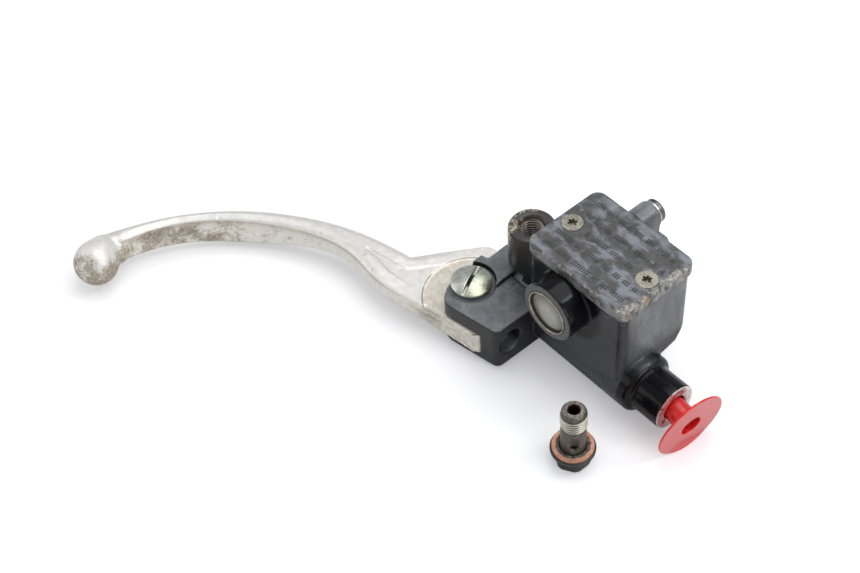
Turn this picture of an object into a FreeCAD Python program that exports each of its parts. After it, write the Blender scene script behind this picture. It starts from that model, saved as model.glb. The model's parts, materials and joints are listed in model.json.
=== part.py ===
import FreeCAD, Part
import math
import os

# Front brake master cylinder for a 22 mm handlebar, millimetres, +Z up.
# Origin: the centre of the handlebar clamp, on the axis of the bar, which runs along X.
# +X points to the hose outlet, -Y away from the rider, -X along the lever to its ball.
# The lid is on top. Every piece is its own closed solid in its own file.

V = FreeCAD.Vector
X_AXIS = V(1, 0, 0)
Y_AXIS = V(0, 1, 0)
Z_AXIS = V(0, 0, 1)

# ---------------------------------------------------------------- driving dimensions
# reservoir and lid
LID_X = (-9.5, 38.5)
LID_Y = (-45.0, -10.0)
LID_BACK_LIP = 0.7
LID_TOP = 35.0
LID_BOTTOM = 30.2
LID_CORNER = 4.0
WALL_INSET = 0.7
WALL = 2.8
BELLOWS_BOTTOM = 21.0
BELLOWS_T = 1.0
RESERVOIR_FLOOR = 3.0
BODY_TOP = 29.4
LID_SCREWS_X = (-3.9, 32.3)
LID_SCREWS_Y = -27.5
SCREW_HEAD_R = 3.95
SCREW_HEAD_H = 2.1
SCREW_R = 1.95
SCREW_HOLE_R = 2.0
SCREW_LENGTH = 15.0
PILLAR_R = 3.9

# bore and outlet, all on one axis along X
BORE_Y = -34.2
BORE_Z = -9.0
BORE_R = 6.35
HOUSING_R = 10.4
SILL_R = 8.0
SILL_BOTTOM = -20.4
HOUSING_X = -21.5
BORE_END_X = 27.0
COLLAR_R = 11.5
COLLAR_END_X = 43.0
OUTLET_R = 9.1
OUTLET_X = 55.5
PORT_R = 4.6
PORT_DEPTH = 17.0
DRILLING_R = 1.5

# piston stack
STROKE_ANGLE = 22.0
STEM_R = 4.0
LAND_R = 6.30
CORE_R = 4.0
SPIGOT_R = 2.5
CUP_R = 6.32
RETAINER_X = -14.0
WASHER_T = 1.0
CIRCLIP_T = 1.2
LAND_T = 2.5
CUP_GROOVE = 3.5
WAIST = 11.0
PRIMARY_CUP_T = 3.0
SPRING_COIL_R = 4.4
SPRING_WIRE_R = 0.5
SPRING_TURNS = 6

# sight glass, on an axis along Y
SIGHT_X = 11.0
SIGHT_Z = 20.2
SIGHT_R = 11.5
SIGHT_FACE_Y = -54.1
SIGHT_SEAT_R = 8.8
SIGHT_SEAT_DEPTH = 5.0
SIGHT_BORE_R = 6.6

# mirror boss
MIRROR_X = -18.2
MIRROR_Y = -33.4
MIRROR_R = 8.8
MIRROR_Z = (7.0, 26.6)
MIRROR_THREAD_R = 4.2
MIRROR_DEPTH = 15.0

# lever fork and pivot, on an axis along Z
PIVOT_X = -29.9
PIVOT_Y = -53.0
FORK_TOP = 0.7
FORK_BOTTOM = -21.0
SLOT_TOP = -6.1
SLOT_BOTTOM = -16.8
FORK_RIGHT = -5.6
SLOT_RIGHT = -13.6
RIB_TOP = 2.3
PIVOT_R = 4.0
BUSH_R = 5.5
PIVOT_HEAD_R = 7.8
PIVOT_HEAD_H = 2.9
SLOT_TURN = 115.0
PIVOT_THREAD_R = 3.0
NUT_FLAT = 10.0
NUT_T = 3.0
NUT_RECESS = 2.0

# stop switch hole, on an axis along X
SWITCH_Y = -55.9
SWITCH_Z = -9.0
SWITCH_R = 5.0
SWITCH_DEPTH = 5.8
PLUNGER_R = 2.6

# lever
LEVER_TOP = -6.3
LEVER_HUB_TOP = -6.6
LEVER_HUB_BOTTOM = -16.4
BLADE_BOTTOM = -18.5
STEP_R = 18.6
ARM_R = 18.8
NOSE_R = 3.0
BALL = (-145.0, -145.2, -11.2)
BALL_R = 8.8

# handlebar clamp
BAR_R = 11.1
CLAMP_R = 13.0
CLAMP_HALF_WIDTH = 7.0
CLAMP_GAP = 0.5
LUG_Z = 15.4
LUG_R = 5.5
LUG_LENGTH = 9.5
CLAMP_BOLT_R = 2.95
CLAMP_HOLE_R = 3.2
SPOT_FACE_R = 5.2

# plug in the outlet, pushed in askew, and the loose hose bolt
PLUG_R = (4.2, 5.1)
PLUG_WALL = 0.8
PLUG_START = -2.4
PLUG_FLANGE = 10.0
PLUG_YAW = -5.5
PLUG_DIP = 7.0
FLANGE_R = 14.1
FLANGE_T = 0.9
BOLT_X = 40.3
BOLT_Y = -68.9
BOLT_R = 4.85
BOLT_COLLAR_T = 1.6
BOLT_LENGTH = 21.5
CROSS_HOLE_TURN = 52
TABLE_Z = -22.0
CLEARANCE = 0.05


# ---------------------------------------------------------------- helpers
def box(x0, x1, y0, y1, z0, z1):
    return Part.makeBox(x1 - x0, y1 - y0, z1 - z0, V(x0, y0, z0))


def rounded_box(x0, x1, y0, y1, z0, z1, radius):
    """A box whose upright edges are rounded."""
    block = box(x0, x1, y0, y1, z0, z1)
    upright = [edge for edge in block.Edges if abs(edge.Vertexes[0].Z - edge.Vertexes[1].Z) > 1e-6]
    return block.makeFillet(radius, upright)


def rod_x(radius, x0, x1, y=BORE_Y, z=BORE_Z):
    return Part.makeCylinder(radius, x1 - x0, V(x0, y, z), X_AXIS)


def rod_y(radius, y0, y1, x, z):
    return Part.makeCylinder(radius, y1 - y0, V(x, y0, z), Y_AXIS)


def rod_z(radius, z0, z1, x, y):
    return Part.makeCylinder(radius, z1 - z0, V(x, y, z0), Z_AXIS)


def cone_z(radius_low, radius_high, z0, z1, x, y):
    return Part.makeCone(radius_low, radius_high, z1 - z0, V(x, y, z0), Z_AXIS)


def plan_prism(points, z0, z1):
    """A straight-sided outline in plan, given upright thickness."""
    ring = [V(x, y, z0) for x, y in points]
    return Part.Face(Part.makePolygon(ring + ring[:1])).extrude(V(0, 0, z1 - z0))


def side_prism(points, x0, x1):
    """An outline of (y, z) points, given thickness along X."""
    ring = [V(x0, y, z) for y, z in points]
    return Part.Face(Part.makePolygon(ring + ring[:1])).extrude(V(x1 - x0, 0, 0))


def spline(points, z):
    curve = Part.BSplineCurve()
    curve.interpolate([V(x, y, z) for x, y in points])
    return curve.toShape()


def spline_xz(points):
    curve = Part.BSplineCurve()
    curve.interpolate([V(x, 0, z) for x, z in points])
    return curve.toShape()


def round_edges(shape, radius, wanted):
    """Fillets the edges that pass the test; keeps the sharp shape where that fails."""
    edges = [edge for edge in shape.Edges if wanted(edge)]
    try:
        rounded = shape.makeFillet(radius, edges)
    except Exception:
        return shape
    return rounded if rounded.isValid() and rounded.Solids else shape


def edge_at_z(edge, z):
    return all(abs(vertex.Z - z) < 1e-4 for vertex in edge.Vertexes)


def hexagon_z(flat, z0, z1, x, y):
    corner = flat / math.sqrt(3)
    angles = [math.radians(60 * i) for i in range(6)]
    return plan_prism([(x + corner * math.cos(a), y + corner * math.sin(a)) for a in angles], z0, z1)


# ---------------------------------------------------------------- casting
def reservoir_block():
    """The box under the lid: its front wall turns under into a sill that wraps the bore."""
    x0 = LID_X[0] + WALL_INSET
    x1 = LID_X[1] - WALL_INSET
    front = LID_Y[0] + WALL_INSET
    back = LID_Y[1] - WALL_INSET
    sill_y = front + SILL_R
    sill_z = SILL_BOTTOM + SILL_R
    heel_y = BORE_Y + HOUSING_R
    outline = [
        (front, BODY_TOP), (front, sill_z), (sill_y, sill_z), (heel_y, sill_z), (heel_y, BORE_Z + 4.0),
        (back - 5.0, -3.2), (back, 4.6), (back, BODY_TOP),
    ]
    block = side_prism(outline, x0, x1)
    block = round_edges(block, 3.2, lambda e: abs(e.Vertexes[0].Z - e.Vertexes[1].Z) > 12)
    toe = rod_x(SILL_R, x0, x1, sill_y, sill_z)
    heel = rod_x(SILL_R, x0, x1, heel_y - SILL_R, sill_z)
    between = box(x0, x1, sill_y, heel_y - SILL_R, SILL_BOTTOM, sill_z)
    return block.fuse([toe, heel, between])


def bore_housing():
    housing = rod_x(HOUSING_R, HOUSING_X, LID_X[1] - WALL_INSET)
    collar = rod_x(COLLAR_R, 30.0, COLLAR_END_X)
    collar = round_edges(collar, 2.4, lambda e: e.BoundBox.XMin > COLLAR_END_X - 0.1)
    boss = rod_x(OUTLET_R, 30.0, OUTLET_X)
    boss = round_edges(boss, 0.6, lambda e: e.BoundBox.XMin > OUTLET_X - 0.1)
    return housing.fuse([collar, boss])


def sight_barrel():
    barrel = rod_y(SIGHT_R, SIGHT_FACE_Y, LID_Y[0] + 3.0, SIGHT_X, SIGHT_Z)
    return round_edges(barrel, 0.8, lambda e: e.BoundBox.YMax < SIGHT_FACE_Y + 0.1)


def fork_outline():
    """The ear in plan: a rounded nose at the left front, straight along the front and right."""
    return [
        (-36.8, -44.0), (-36.8, -56.5), (-34.8, -61.0), (-32.0, -64.6), (-30.0, -66.0),
        (-27.6, -66.3), (FORK_RIGHT, -62.4), (FORK_RIGHT, -40.0), (-22.0, -40.0),
    ]


def fork():
    """The two ears, the rib from the pivot to the mirror boss, and the floor below the slot."""
    block = plan_prism(fork_outline(), FORK_BOTTOM, FORK_TOP)
    block = round_edges(block, 3.2, lambda e: e.BoundBox.XMin > FORK_RIGHT - 0.1 and e.BoundBox.YMax < -62)
    block = round_edges(block, 2.4, lambda e: edge_at_z(e, FORK_BOTTOM) and e.BoundBox.YMax < -41)
    block = round_edges(block, 0.5, lambda e: edge_at_z(e, FORK_TOP) and e.BoundBox.YMax < -41)
    rib_plan = [
        (-36.6, -49.0), (-36.8, -41.8), (-33.8, -41.2), (-34.2, -31.0), (-22.5, -31.0), (-21.9, -49.6),
        (-29.0, -46.0),
    ]
    rib = plan_prism(rib_plan, SLOT_TOP, RIB_TOP)
    floor_plan = [(-34.0, -45.0), (-34.0, -26.0), (-20.0, -24.5), (-20.0, -45.0)]
    return block.fuse([rib, plan_prism(floor_plan, FORK_BOTTOM, SLOT_BOTTOM)])


def mirror_boss():
    boss = rod_z(MIRROR_R, MIRROR_Z[0], MIRROR_Z[1], MIRROR_X, MIRROR_Y)
    boss = round_edges(boss, 2.6, lambda e: edge_at_z(e, MIRROR_Z[0]))
    boss = round_edges(boss, 1.3, lambda e: edge_at_z(e, MIRROR_Z[1]))
    web = box(MIRROR_X, LID_X[0] + 3.0, MIRROR_Y - 5.0, MIRROR_Y + 5.0, -2.0, 21.0)
    rib_link = box(-27.0, MIRROR_X, MIRROR_Y - 2.6, MIRROR_Y + 2.6, 0.0, 12.0)
    return boss.fuse([web, rib_link])


def clamp_seat():
    """The fixed half of the handlebar clamp, with an upper and a lower lug."""
    half = rod_x(CLAMP_R, -CLAMP_HALF_WIDTH, CLAMP_HALF_WIDTH, 0, 0)
    for z in (LUG_Z, -LUG_Z):
        half = half.fuse(rod_y(LUG_R, -13.0, 0, 0, z))
    strut_side = [(-30.0, -18.0), (-12.0, -16.0), (-9.0, -8.0), (-10.0, 3.0), (-24.0, -2.0)]
    half = half.fuse(side_prism(strut_side, -CLAMP_HALF_WIDTH, CLAMP_HALF_WIDTH))
    return half.cut(box(-30, 30, -CLAMP_GAP, 40, -40, 40))


def reservoir_cavity():
    """The fluid space, with a pillar left standing in each end wall for a lid screw."""
    x0 = LID_X[0] + WALL_INSET + WALL
    x1 = LID_X[1] - WALL_INSET - WALL
    y0 = LID_Y[0] + WALL_INSET + WALL
    y1 = LID_Y[1] - WALL_INSET - WALL
    cavity = rounded_box(x0, x1, y0, y1, RESERVOIR_FLOOR, BODY_TOP + 1, 2.5)
    for x in LID_SCREWS_X:
        side = x0 - 1 if x < SIGHT_X else x1 + 1
        low = LID_SCREWS_Y - PILLAR_R
        high = LID_SCREWS_Y + PILLAR_R
        pillar = rod_z(PILLAR_R, 0, BODY_TOP + 2, x, LID_SCREWS_Y)
        bridge = box(min(x, side), max(x, side), low, high, 0, BODY_TOP + 2)
        cavity = cavity.cut(pillar.fuse(bridge))
    return cavity


def lever_slot():
    """The gap between the ears, open to the front, the left and the back of the fork."""
    plan = [
        (-70.0, -80.0), (SLOT_RIGHT, -80.0), (SLOT_RIGHT, -46.0), (HOUSING_X, -40.0), (HOUSING_X, -18.0),
        (-70.0, -18.0),
    ]
    return plan_prism(plan, SLOT_BOTTOM, SLOT_TOP)


def casting_cuts():
    """Everything that is bored, cored or milled out of the casting."""
    cuts = [
        reservoir_cavity(),
        lever_slot(),
        box(LID_X[0] - 1, LID_X[1] + 1, LID_Y[0] - CLEARANCE, LID_Y[1] + 1, BODY_TOP, LID_TOP),
        rod_x(BORE_R, HOUSING_X - 1, BORE_END_X),
        rod_x(8.6, HOUSING_X - 10, HOUSING_X + 3.0),
        rod_x(7.2, RETAINER_X - WASHER_T - CIRCLIP_T, RETAINER_X - WASHER_T),
        rod_x(6.6, RETAINER_X - WASHER_T, RETAINER_X),
        rod_x(DRILLING_R, BORE_END_X - 1, OUTLET_X),
        rod_x(PORT_R, OUTLET_X - PORT_DEPTH, OUTLET_X + 1),
        Part.makeCone(PORT_R, PORT_R + 0.9, 0.9, V(OUTLET_X - 0.9, BORE_Y, BORE_Z), X_AXIS),
        rod_z(1.1, BORE_Z, RESERVOIR_FLOOR + 1, 3.3, BORE_Y),
        rod_z(0.4, BORE_Z, RESERVOIR_FLOOR + 1, 12.4, BORE_Y),
        rod_y(SIGHT_SEAT_R, SIGHT_FACE_Y - 1, SIGHT_FACE_Y + SIGHT_SEAT_DEPTH, SIGHT_X, SIGHT_Z),
        rod_y(SIGHT_BORE_R, SIGHT_FACE_Y, LID_Y[0] + 6.0, SIGHT_X, SIGHT_Z),
        rod_z(MIRROR_THREAD_R, MIRROR_Z[1] - MIRROR_DEPTH, MIRROR_Z[1] + 1, MIRROR_X, MIRROR_Y),
        cone_z(MIRROR_THREAD_R, MIRROR_THREAD_R + 1.3, MIRROR_Z[1] - 1.3, MIRROR_Z[1], MIRROR_X, MIRROR_Y),
        rod_z(PIVOT_R + CLEARANCE, SLOT_TOP - 1, FORK_TOP + 3, PIVOT_X, PIVOT_Y),
        rod_z(PIVOT_THREAD_R + CLEARANCE, FORK_BOTTOM - 1, SLOT_BOTTOM + 1, PIVOT_X, PIVOT_Y),
        rod_z(9.2, FORK_TOP - 0.8, FORK_TOP + 4, PIVOT_X, PIVOT_Y),
        rod_z(7.0, FORK_BOTTOM - 1, FORK_BOTTOM + NUT_RECESS, PIVOT_X, PIVOT_Y),
        rod_x(SWITCH_R, FORK_RIGHT - SWITCH_DEPTH, FORK_RIGHT + 1, SWITCH_Y, SWITCH_Z),
        rod_x(PLUNGER_R, SLOT_RIGHT - 1, FORK_RIGHT, SWITCH_Y, SWITCH_Z),
        Part.makeCone(SWITCH_R, SWITCH_R + 0.8, 0.8, V(FORK_RIGHT - 0.8, SWITCH_Y, SWITCH_Z), X_AXIS),
        rod_x(BAR_R, -20, 20, 0, 0),
    ]
    for x in LID_SCREWS_X:
        cuts.append(rod_z(SCREW_HOLE_R, BODY_TOP - SCREW_LENGTH, BODY_TOP + 1, x, LID_SCREWS_Y))
    for z in (LUG_Z, -LUG_Z):
        cuts.append(rod_y(CLAMP_BOLT_R + CLEARANCE, -11.0, 1, 0, z))
    return cuts


def cylinder_body():
    body = reservoir_block().fuse([bore_housing(), sight_barrel(), fork(), mirror_boss(), clamp_seat()])
    for cut in casting_cuts():
        body = body.cut(cut)
    return body.removeSplitter()


# ---------------------------------------------------------------- lid and reservoir
def lid_panel(end_inset, side_inset, z0, z1, radius):
    """A slab with the lid's outline, drawn in by end_inset along X and side_inset along Y."""
    x0 = LID_X[0] + end_inset
    x1 = LID_X[1] - end_inset
    return rounded_box(x0, x1, LID_Y[0] + side_inset, LID_Y[1] - side_inset, z0, z1, radius)


def reservoir_lid():
    back = LID_Y[1] + LID_BACK_LIP
    lid = rounded_box(LID_X[0], LID_X[1], LID_Y[0], back, LID_BOTTOM, LID_TOP, LID_CORNER)
    lid = round_edges(lid, 0.7, lambda e: edge_at_z(e, LID_TOP))
    lid = lid.cut(lid_panel(8.5, 4.0, LID_BOTTOM - 1, LID_BOTTOM + 2.2, 3.0))
    sink_bottom = LID_TOP - SCREW_HEAD_H - 0.1
    for x in LID_SCREWS_X:
        lid = lid.cut(rod_z(SCREW_R + 0.2, LID_BOTTOM - 1, LID_TOP, x, LID_SCREWS_Y))
        lid = lid.cut(cone_z(SCREW_R + CLEARANCE, SCREW_HEAD_R + 0.15, sink_bottom, LID_TOP, x, LID_SCREWS_Y))
    return lid


def lid_screws():
    screws = []
    for x in LID_SCREWS_X:
        head = cone_z(SCREW_R, SCREW_HEAD_R, LID_TOP - SCREW_HEAD_H, LID_TOP, x, LID_SCREWS_Y)
        shank = rod_z(SCREW_R, BODY_TOP - SCREW_LENGTH + 1, LID_TOP - SCREW_HEAD_H, x, LID_SCREWS_Y)
        screw = head.fuse(shank)
        for i in range(3):
            blade = box(-1.75, 1.75, -0.5, 0.5, LID_TOP - 1.6, LID_TOP + 1)
            blade.rotate(V(0, 0, 0), Z_AXIS, 60 * i)
            blade.translate(V(x, LID_SCREWS_Y, 0))
            screw = screw.cut(blade)
        screws.append(screw.removeSplitter())
    return Part.makeCompound(screws)


def diaphragm():
    """A rubber bellows: a flange nipped under the lid and a thin cup hanging into the fluid."""
    flange = lid_panel(1.2, 1.2, BODY_TOP, LID_BOTTOM, 3.4)
    for x in LID_SCREWS_X:
        flange = flange.cut(rod_z(SCREW_R + 0.3, BODY_TOP - 1, LID_BOTTOM + 1, x, LID_SCREWS_Y))
    cup_outside = lid_panel(11.2, 5.2, BELLOWS_BOTTOM, BODY_TOP + 0.1, 3.0)
    cup_inside = lid_panel(11.2 + BELLOWS_T, 5.2 + BELLOWS_T, BELLOWS_BOTTOM + BELLOWS_T, LID_BOTTOM + 1, 2.0)
    return flange.fuse(cup_outside).cut(cup_inside)


def diaphragm_plate():
    """The stiff plate in the lid's recess that holds the bellows flat; it has a breather hole."""
    plate = lid_panel(9.0, 4.5, LID_BOTTOM, LID_BOTTOM + 1.2, 2.5)
    return plate.cut(rod_z(1.5, LID_BOTTOM - 1, LID_BOTTOM + 2, SIGHT_X, LID_SCREWS_Y))


def port_baffle():
    """The small plate over the ports that stops fluid from spurting up when the lever is let go."""
    plate = rounded_box(-1.0, 17.5, -38.5, -30.0, RESERVOIR_FLOOR, RESERVOIR_FLOOR + 0.8, 1.5)
    for x in (5.5, 8.0, 10.5):
        plate = plate.cut(box(x, x + 1.0, -36.5, -32.0, RESERVOIR_FLOOR - 1, RESERVOIR_FLOOR + 2))
    return plate


# ---------------------------------------------------------------- sight glass
def sight_seal():
    outer = SIGHT_SEAT_R - CLEARANCE
    floor = SIGHT_FACE_Y + SIGHT_SEAT_DEPTH
    ring = rod_y(outer, floor - 1.2, floor, SIGHT_X, SIGHT_Z)
    return ring.cut(rod_y(outer - 2.0, floor - 2, floor + 1, SIGHT_X, SIGHT_Z))


def sight_glass():
    back = SIGHT_FACE_Y + SIGHT_SEAT_DEPTH - 1.2
    disc = rod_y(SIGHT_SEAT_R - CLEARANCE, back - 1.6, back, SIGHT_X, SIGHT_Z)
    window = rod_y(7.0, back - 3.2, back, SIGHT_X, SIGHT_Z)
    window = round_edges(window, 1.2, lambda e: e.BoundBox.YMax < back - 3)
    return disc.fuse(window)


def sight_ring():
    front = SIGHT_FACE_Y - 0.3
    back = SIGHT_FACE_Y + SIGHT_SEAT_DEPTH - 2.8
    ring = rod_y(SIGHT_SEAT_R - CLEARANCE, front, back, SIGHT_X, SIGHT_Z)
    ring = ring.cut(rod_y(7.2, front - 1, back + 1, SIGHT_X, SIGHT_Z))
    return round_edges(ring, 0.4, lambda e: e.BoundBox.YMax < front + 0.1)


def sight_reflector():
    disc = rod_y(SIGHT_BORE_R - CLEARANCE, -46.0, -45.0, SIGHT_X, SIGHT_Z)
    return disc.cut(rod_y(2.0, -47, -44, SIGHT_X, SIGHT_Z))


# ---------------------------------------------------------------- piston stack
def nose_centre():
    """The lever's nose swings half the stroke angle to each side of square with the bore."""
    half = math.radians(STROKE_ANGLE / 2)
    return PIVOT_X - ARM_R * math.sin(half), PIVOT_Y + ARM_R * math.cos(half)


def piston_stations():
    """X of each step of the piston, from the lever end inward."""
    outer_end = nose_centre()[0] + NOSE_R + 0.02
    flange = RETAINER_X
    groove = flange + LAND_T
    second_land = groove + CUP_GROOVE
    waist = second_land + LAND_T
    front_land = waist + WAIST
    spigot = front_land + LAND_T
    return outer_end, flange, groove, second_land, waist, front_land, spigot


def piston():
    end, flange, groove, second_land, waist, front_land, spigot = piston_stations()
    stem = rod_x(STEM_R, end, flange)
    stem = round_edges(stem, 0.5, lambda e: e.BoundBox.XMax < end + 0.1)
    return stem.fuse([
        rod_x(LAND_R, flange, groove),
        rod_x(CORE_R, groove, second_land),
        rod_x(LAND_R, second_land, waist),
        rod_x(CORE_R, waist, front_land),
        rod_x(LAND_R, front_land, spigot),
        rod_x(SPIGOT_R, spigot, spigot + PRIMARY_CUP_T + 1.0),
    ]).removeSplitter()


def cup(x0, x1, inner_r):
    """A lipped rubber seal that opens toward the pressure side, +X."""
    ring = rod_x(CUP_R, x0, x1).cut(rod_x(inner_r, x0 - 1, x1 + 1))
    lip = rod_x(CUP_R - 0.9, x1 - 1.4, x1 + 1).cut(rod_x(inner_r + 0.9, x1 - 2, x1 + 2))
    return ring.cut(lip)


def secondary_cup():
    groove, second_land = piston_stations()[2:4]
    return cup(groove + 0.1, second_land - 0.1, CORE_R)


def primary_cup():
    spigot = piston_stations()[6]
    return cup(spigot, spigot + PRIMARY_CUP_T, SPIGOT_R)


def spring_seat():
    start = piston_stations()[6] + PRIMARY_CUP_T
    disc = rod_x(5.4, start, start + 0.8)
    collar = rod_x(3.4, start, start + 2.2)
    return disc.fuse(collar).cut(rod_x(SPIGOT_R, start - 1, start + 1.0))


def return_spring():
    """A coil of eight-sided wire between the spring seat and the end of the bore."""
    start = piston_stations()[6] + PRIMARY_CUP_T + 0.8 + SPRING_WIRE_R
    length = BORE_END_X - SPRING_WIRE_R - start
    steps = 8 * SPRING_TURNS
    path = Part.BSplineCurve()
    points = []
    for i in range(steps + 1):
        angle = 2 * math.pi * SPRING_TURNS * i / steps
        points.append(V(length * i / steps, SPRING_COIL_R * math.cos(angle), SPRING_COIL_R * math.sin(angle)))
    path.interpolate(points)
    along = path.tangent(0)[0]
    outward = Y_AXIS
    across = along.cross(outward).normalize()
    corners = []
    for i in range(8):
        angle = math.radians(45 * i)
        offset = outward * (SPRING_WIRE_R * math.cos(angle)) + across * (SPRING_WIRE_R * math.sin(angle))
        corners.append(V(0, SPRING_COIL_R, 0) + offset)
    wire = Part.makePolygon(corners + corners[:1])
    coil = Part.Wire(path.toShape()).makePipeShell([wire], True, True)
    coil.translate(V(start, BORE_Y, BORE_Z))
    return coil


def piston_washer():
    disc = rod_x(6.55, RETAINER_X - WASHER_T, RETAINER_X)
    return disc.cut(rod_x(STEM_R + 0.3, RETAINER_X - 3, RETAINER_X + 1))


def circlip():
    x0 = RETAINER_X - WASHER_T - CIRCLIP_T + 0.1
    x1 = RETAINER_X - WASHER_T - 0.02
    ring = rod_x(7.15, x0, x1).cut(rod_x(5.4, x0 - 1, x1 + 1))
    gap = box(x0 - 1, x1 + 1, BORE_Y - 2.0, BORE_Y + 2.0, BORE_Z - 9, BORE_Z)
    return ring.cut(gap)


def dust_boot():
    """A rubber wiper seated in the mouth of the bore, clear of the stem and of the lever's swing."""
    seat = rod_x(8.55, HOUSING_X, HOUSING_X + 2.9)
    nose = Part.makeCone(6.8, 8.0, 1.0, V(HOUSING_X - 1.0, BORE_Y, BORE_Z), X_AXIS)
    ring = seat.fuse(nose)
    return ring.cut(rod_x(STEM_R + CLEARANCE, HOUSING_X - 4, HOUSING_X + 4))


# ---------------------------------------------------------------- lever and pivot
def blade_outline(z):
    """Lever in plan: two long curves, joined at the ball end and by the hub and arm."""
    near = [
        (-16.0, -65.6), (-36.0, -69.2), (-62.0, -73.9), (-78.0, -72.7), (-92.5, -75.9), (-107.5, -84.0),
        (-120.5, -94.0), (-131.5, -106.0), (-139.5, -120.5), (-143.0, -134.0),
    ]
    far = [
        (-152.6, -139.0), (-150.0, -132.0), (-145.0, -119.5), (-135.5, -103.0), (-124.0, -89.3),
        (-106.5, -75.0), (-92.0, -66.6), (-75.0, -60.4), (-60.0, -57.2),
    ]
    nose_x, nose_y = nose_centre()
    arm = [far[-1], (-45.4, -34.4), (-43.6, -32.2), (-41.0, -31.4), (nose_x, nose_y + NOSE_R)]
    inner = [
        (nose_x + NOSE_R, nose_y), (-31.4, -38.4), (-30.0, -41.0), (-25.5, -45.4), (-18.0, -50.0),
        (-13.8, -51.4), (-13.8, -64.0), near[0],
    ]
    nose_mid = V(nose_x + NOSE_R * math.cos(math.pi / 4), nose_y + NOSE_R * math.sin(math.pi / 4), z)
    nose = Part.Arc(V(nose_x, nose_y + NOSE_R, z), nose_mid, V(nose_x + NOSE_R, nose_y, z)).toShape()
    edges = [spline(near, z), Part.makeLine(V(*near[-1], z), V(*far[0], z)), spline(far, z)]
    edges.append(Part.makePolygon([V(x, y, z) for x, y in arm]))
    edges.append(nose)
    edges.append(Part.makePolygon([V(x, y, z) for x, y in inner]))
    flat = [edge for part in edges for edge in part.Edges]
    return Part.Face(Part.Wire(Part.__sortEdges__(flat)))


def underside():
    """What is cut away below the lever: deep at the grip, waisted at the bend, level at the hub."""
    low = -30.0
    tip = (-160.0, BLADE_BOTTOM + 2.2)
    hub_start = (-26.0, LEVER_HUB_BOTTOM)
    grip = spline_xz([
        tip, (-142.0, -16.8), (-125.0, BLADE_BOTTOM), (-112.0, -17.8), (-98.0, -15.8), (-84.0, -14.4),
        (-66.0, -13.4), (-52.0, -13.3), (-38.0, -14.9), hub_start,
    ])
    hub_points = [hub_start, (0, LEVER_HUB_BOTTOM), (0, low), (tip[0], low), tip]
    hub = Part.makePolygon([V(x, 0, z) for x, z in hub_points])
    face = Part.Face(Part.Wire([grip] + hub.Edges))
    face.translate(V(0, -170, 0))
    return face.extrude(V(0, 160, 0))


def lever():
    blade = blade_outline(BLADE_BOTTOM - 1).extrude(V(0, 0, LEVER_TOP - BLADE_BOTTOM + 1))
    blade = blade.cut(underside())
    ball = Part.makeSphere(BALL_R, V(*BALL))
    neck_start = V(-146.4, -130.0, -12.0)
    neck = Part.makeCone(3.8, 6.4, 13.0, neck_start, V(*BALL) - neck_start)
    hub_zone = rod_z(STEP_R, -30, 10, PIVOT_X, PIVOT_Y)
    above = box(-70, 0, -90, 0, LEVER_HUB_TOP, 0).common(hub_zone)
    bar = blade.cut(above).fuse([ball, neck])
    bore = rod_z(BUSH_R + 0.01, -30, 10, PIVOT_X, PIVOT_Y)
    return bar.cut(bore).removeSplitter()


def lever_bush():
    sleeve = rod_z(BUSH_R, LEVER_HUB_BOTTOM, LEVER_HUB_TOP, PIVOT_X, PIVOT_Y)
    return sleeve.cut(rod_z(PIVOT_R + 0.04, -30, 10, PIVOT_X, PIVOT_Y))


def pivot_screw():
    """A shouldered pin with a wide domed slotted head, threaded into the lower ear."""
    head_base = FORK_TOP + 0.1
    head = rod_z(PIVOT_HEAD_R, head_base, head_base + 1.0, PIVOT_X, PIVOT_Y)
    dome_r = (PIVOT_HEAD_R ** 2 + (PIVOT_HEAD_H - 1.0) ** 2) / (2 * (PIVOT_HEAD_H - 1.0))
    dome = Part.makeSphere(dome_r, V(PIVOT_X, PIVOT_Y, head_base + PIVOT_HEAD_H - dome_r))
    dome = dome.common(rod_z(PIVOT_HEAD_R, head_base + 1.0, head_base + PIVOT_HEAD_H + 1, PIVOT_X, PIVOT_Y))
    slot = box(-9, 9, -0.65, 0.65, head_base + 1.0, head_base + PIVOT_HEAD_H + 1)
    slot.rotate(V(0, 0, 0), Z_AXIS, SLOT_TURN)
    slot.translate(V(PIVOT_X, PIVOT_Y, 0))
    shoulder = rod_z(PIVOT_R, SLOT_BOTTOM, head_base, PIVOT_X, PIVOT_Y)
    thread = rod_z(PIVOT_THREAD_R, FORK_BOTTOM + NUT_RECESS - NUT_T, SLOT_BOTTOM, PIVOT_X, PIVOT_Y)
    return head.fuse([dome, shoulder, thread]).cut(slot).removeSplitter()


def pivot_washer():
    """A spacing washer in the counterbore, under the head of the pivot screw."""
    ring = rod_z(6.4, FORK_TOP - 0.8, FORK_TOP + 0.1, PIVOT_X, PIVOT_Y)
    return ring.cut(rod_z(PIVOT_R + CLEARANCE, -10, 10, PIVOT_X, PIVOT_Y))


def pivot_nut():
    top = FORK_BOTTOM + NUT_RECESS
    nut = hexagon_z(NUT_FLAT, top - NUT_T, top, PIVOT_X, PIVOT_Y)
    return nut.cut(rod_z(PIVOT_THREAD_R + CLEARANCE, -40, 10, PIVOT_X, PIVOT_Y))


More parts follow.
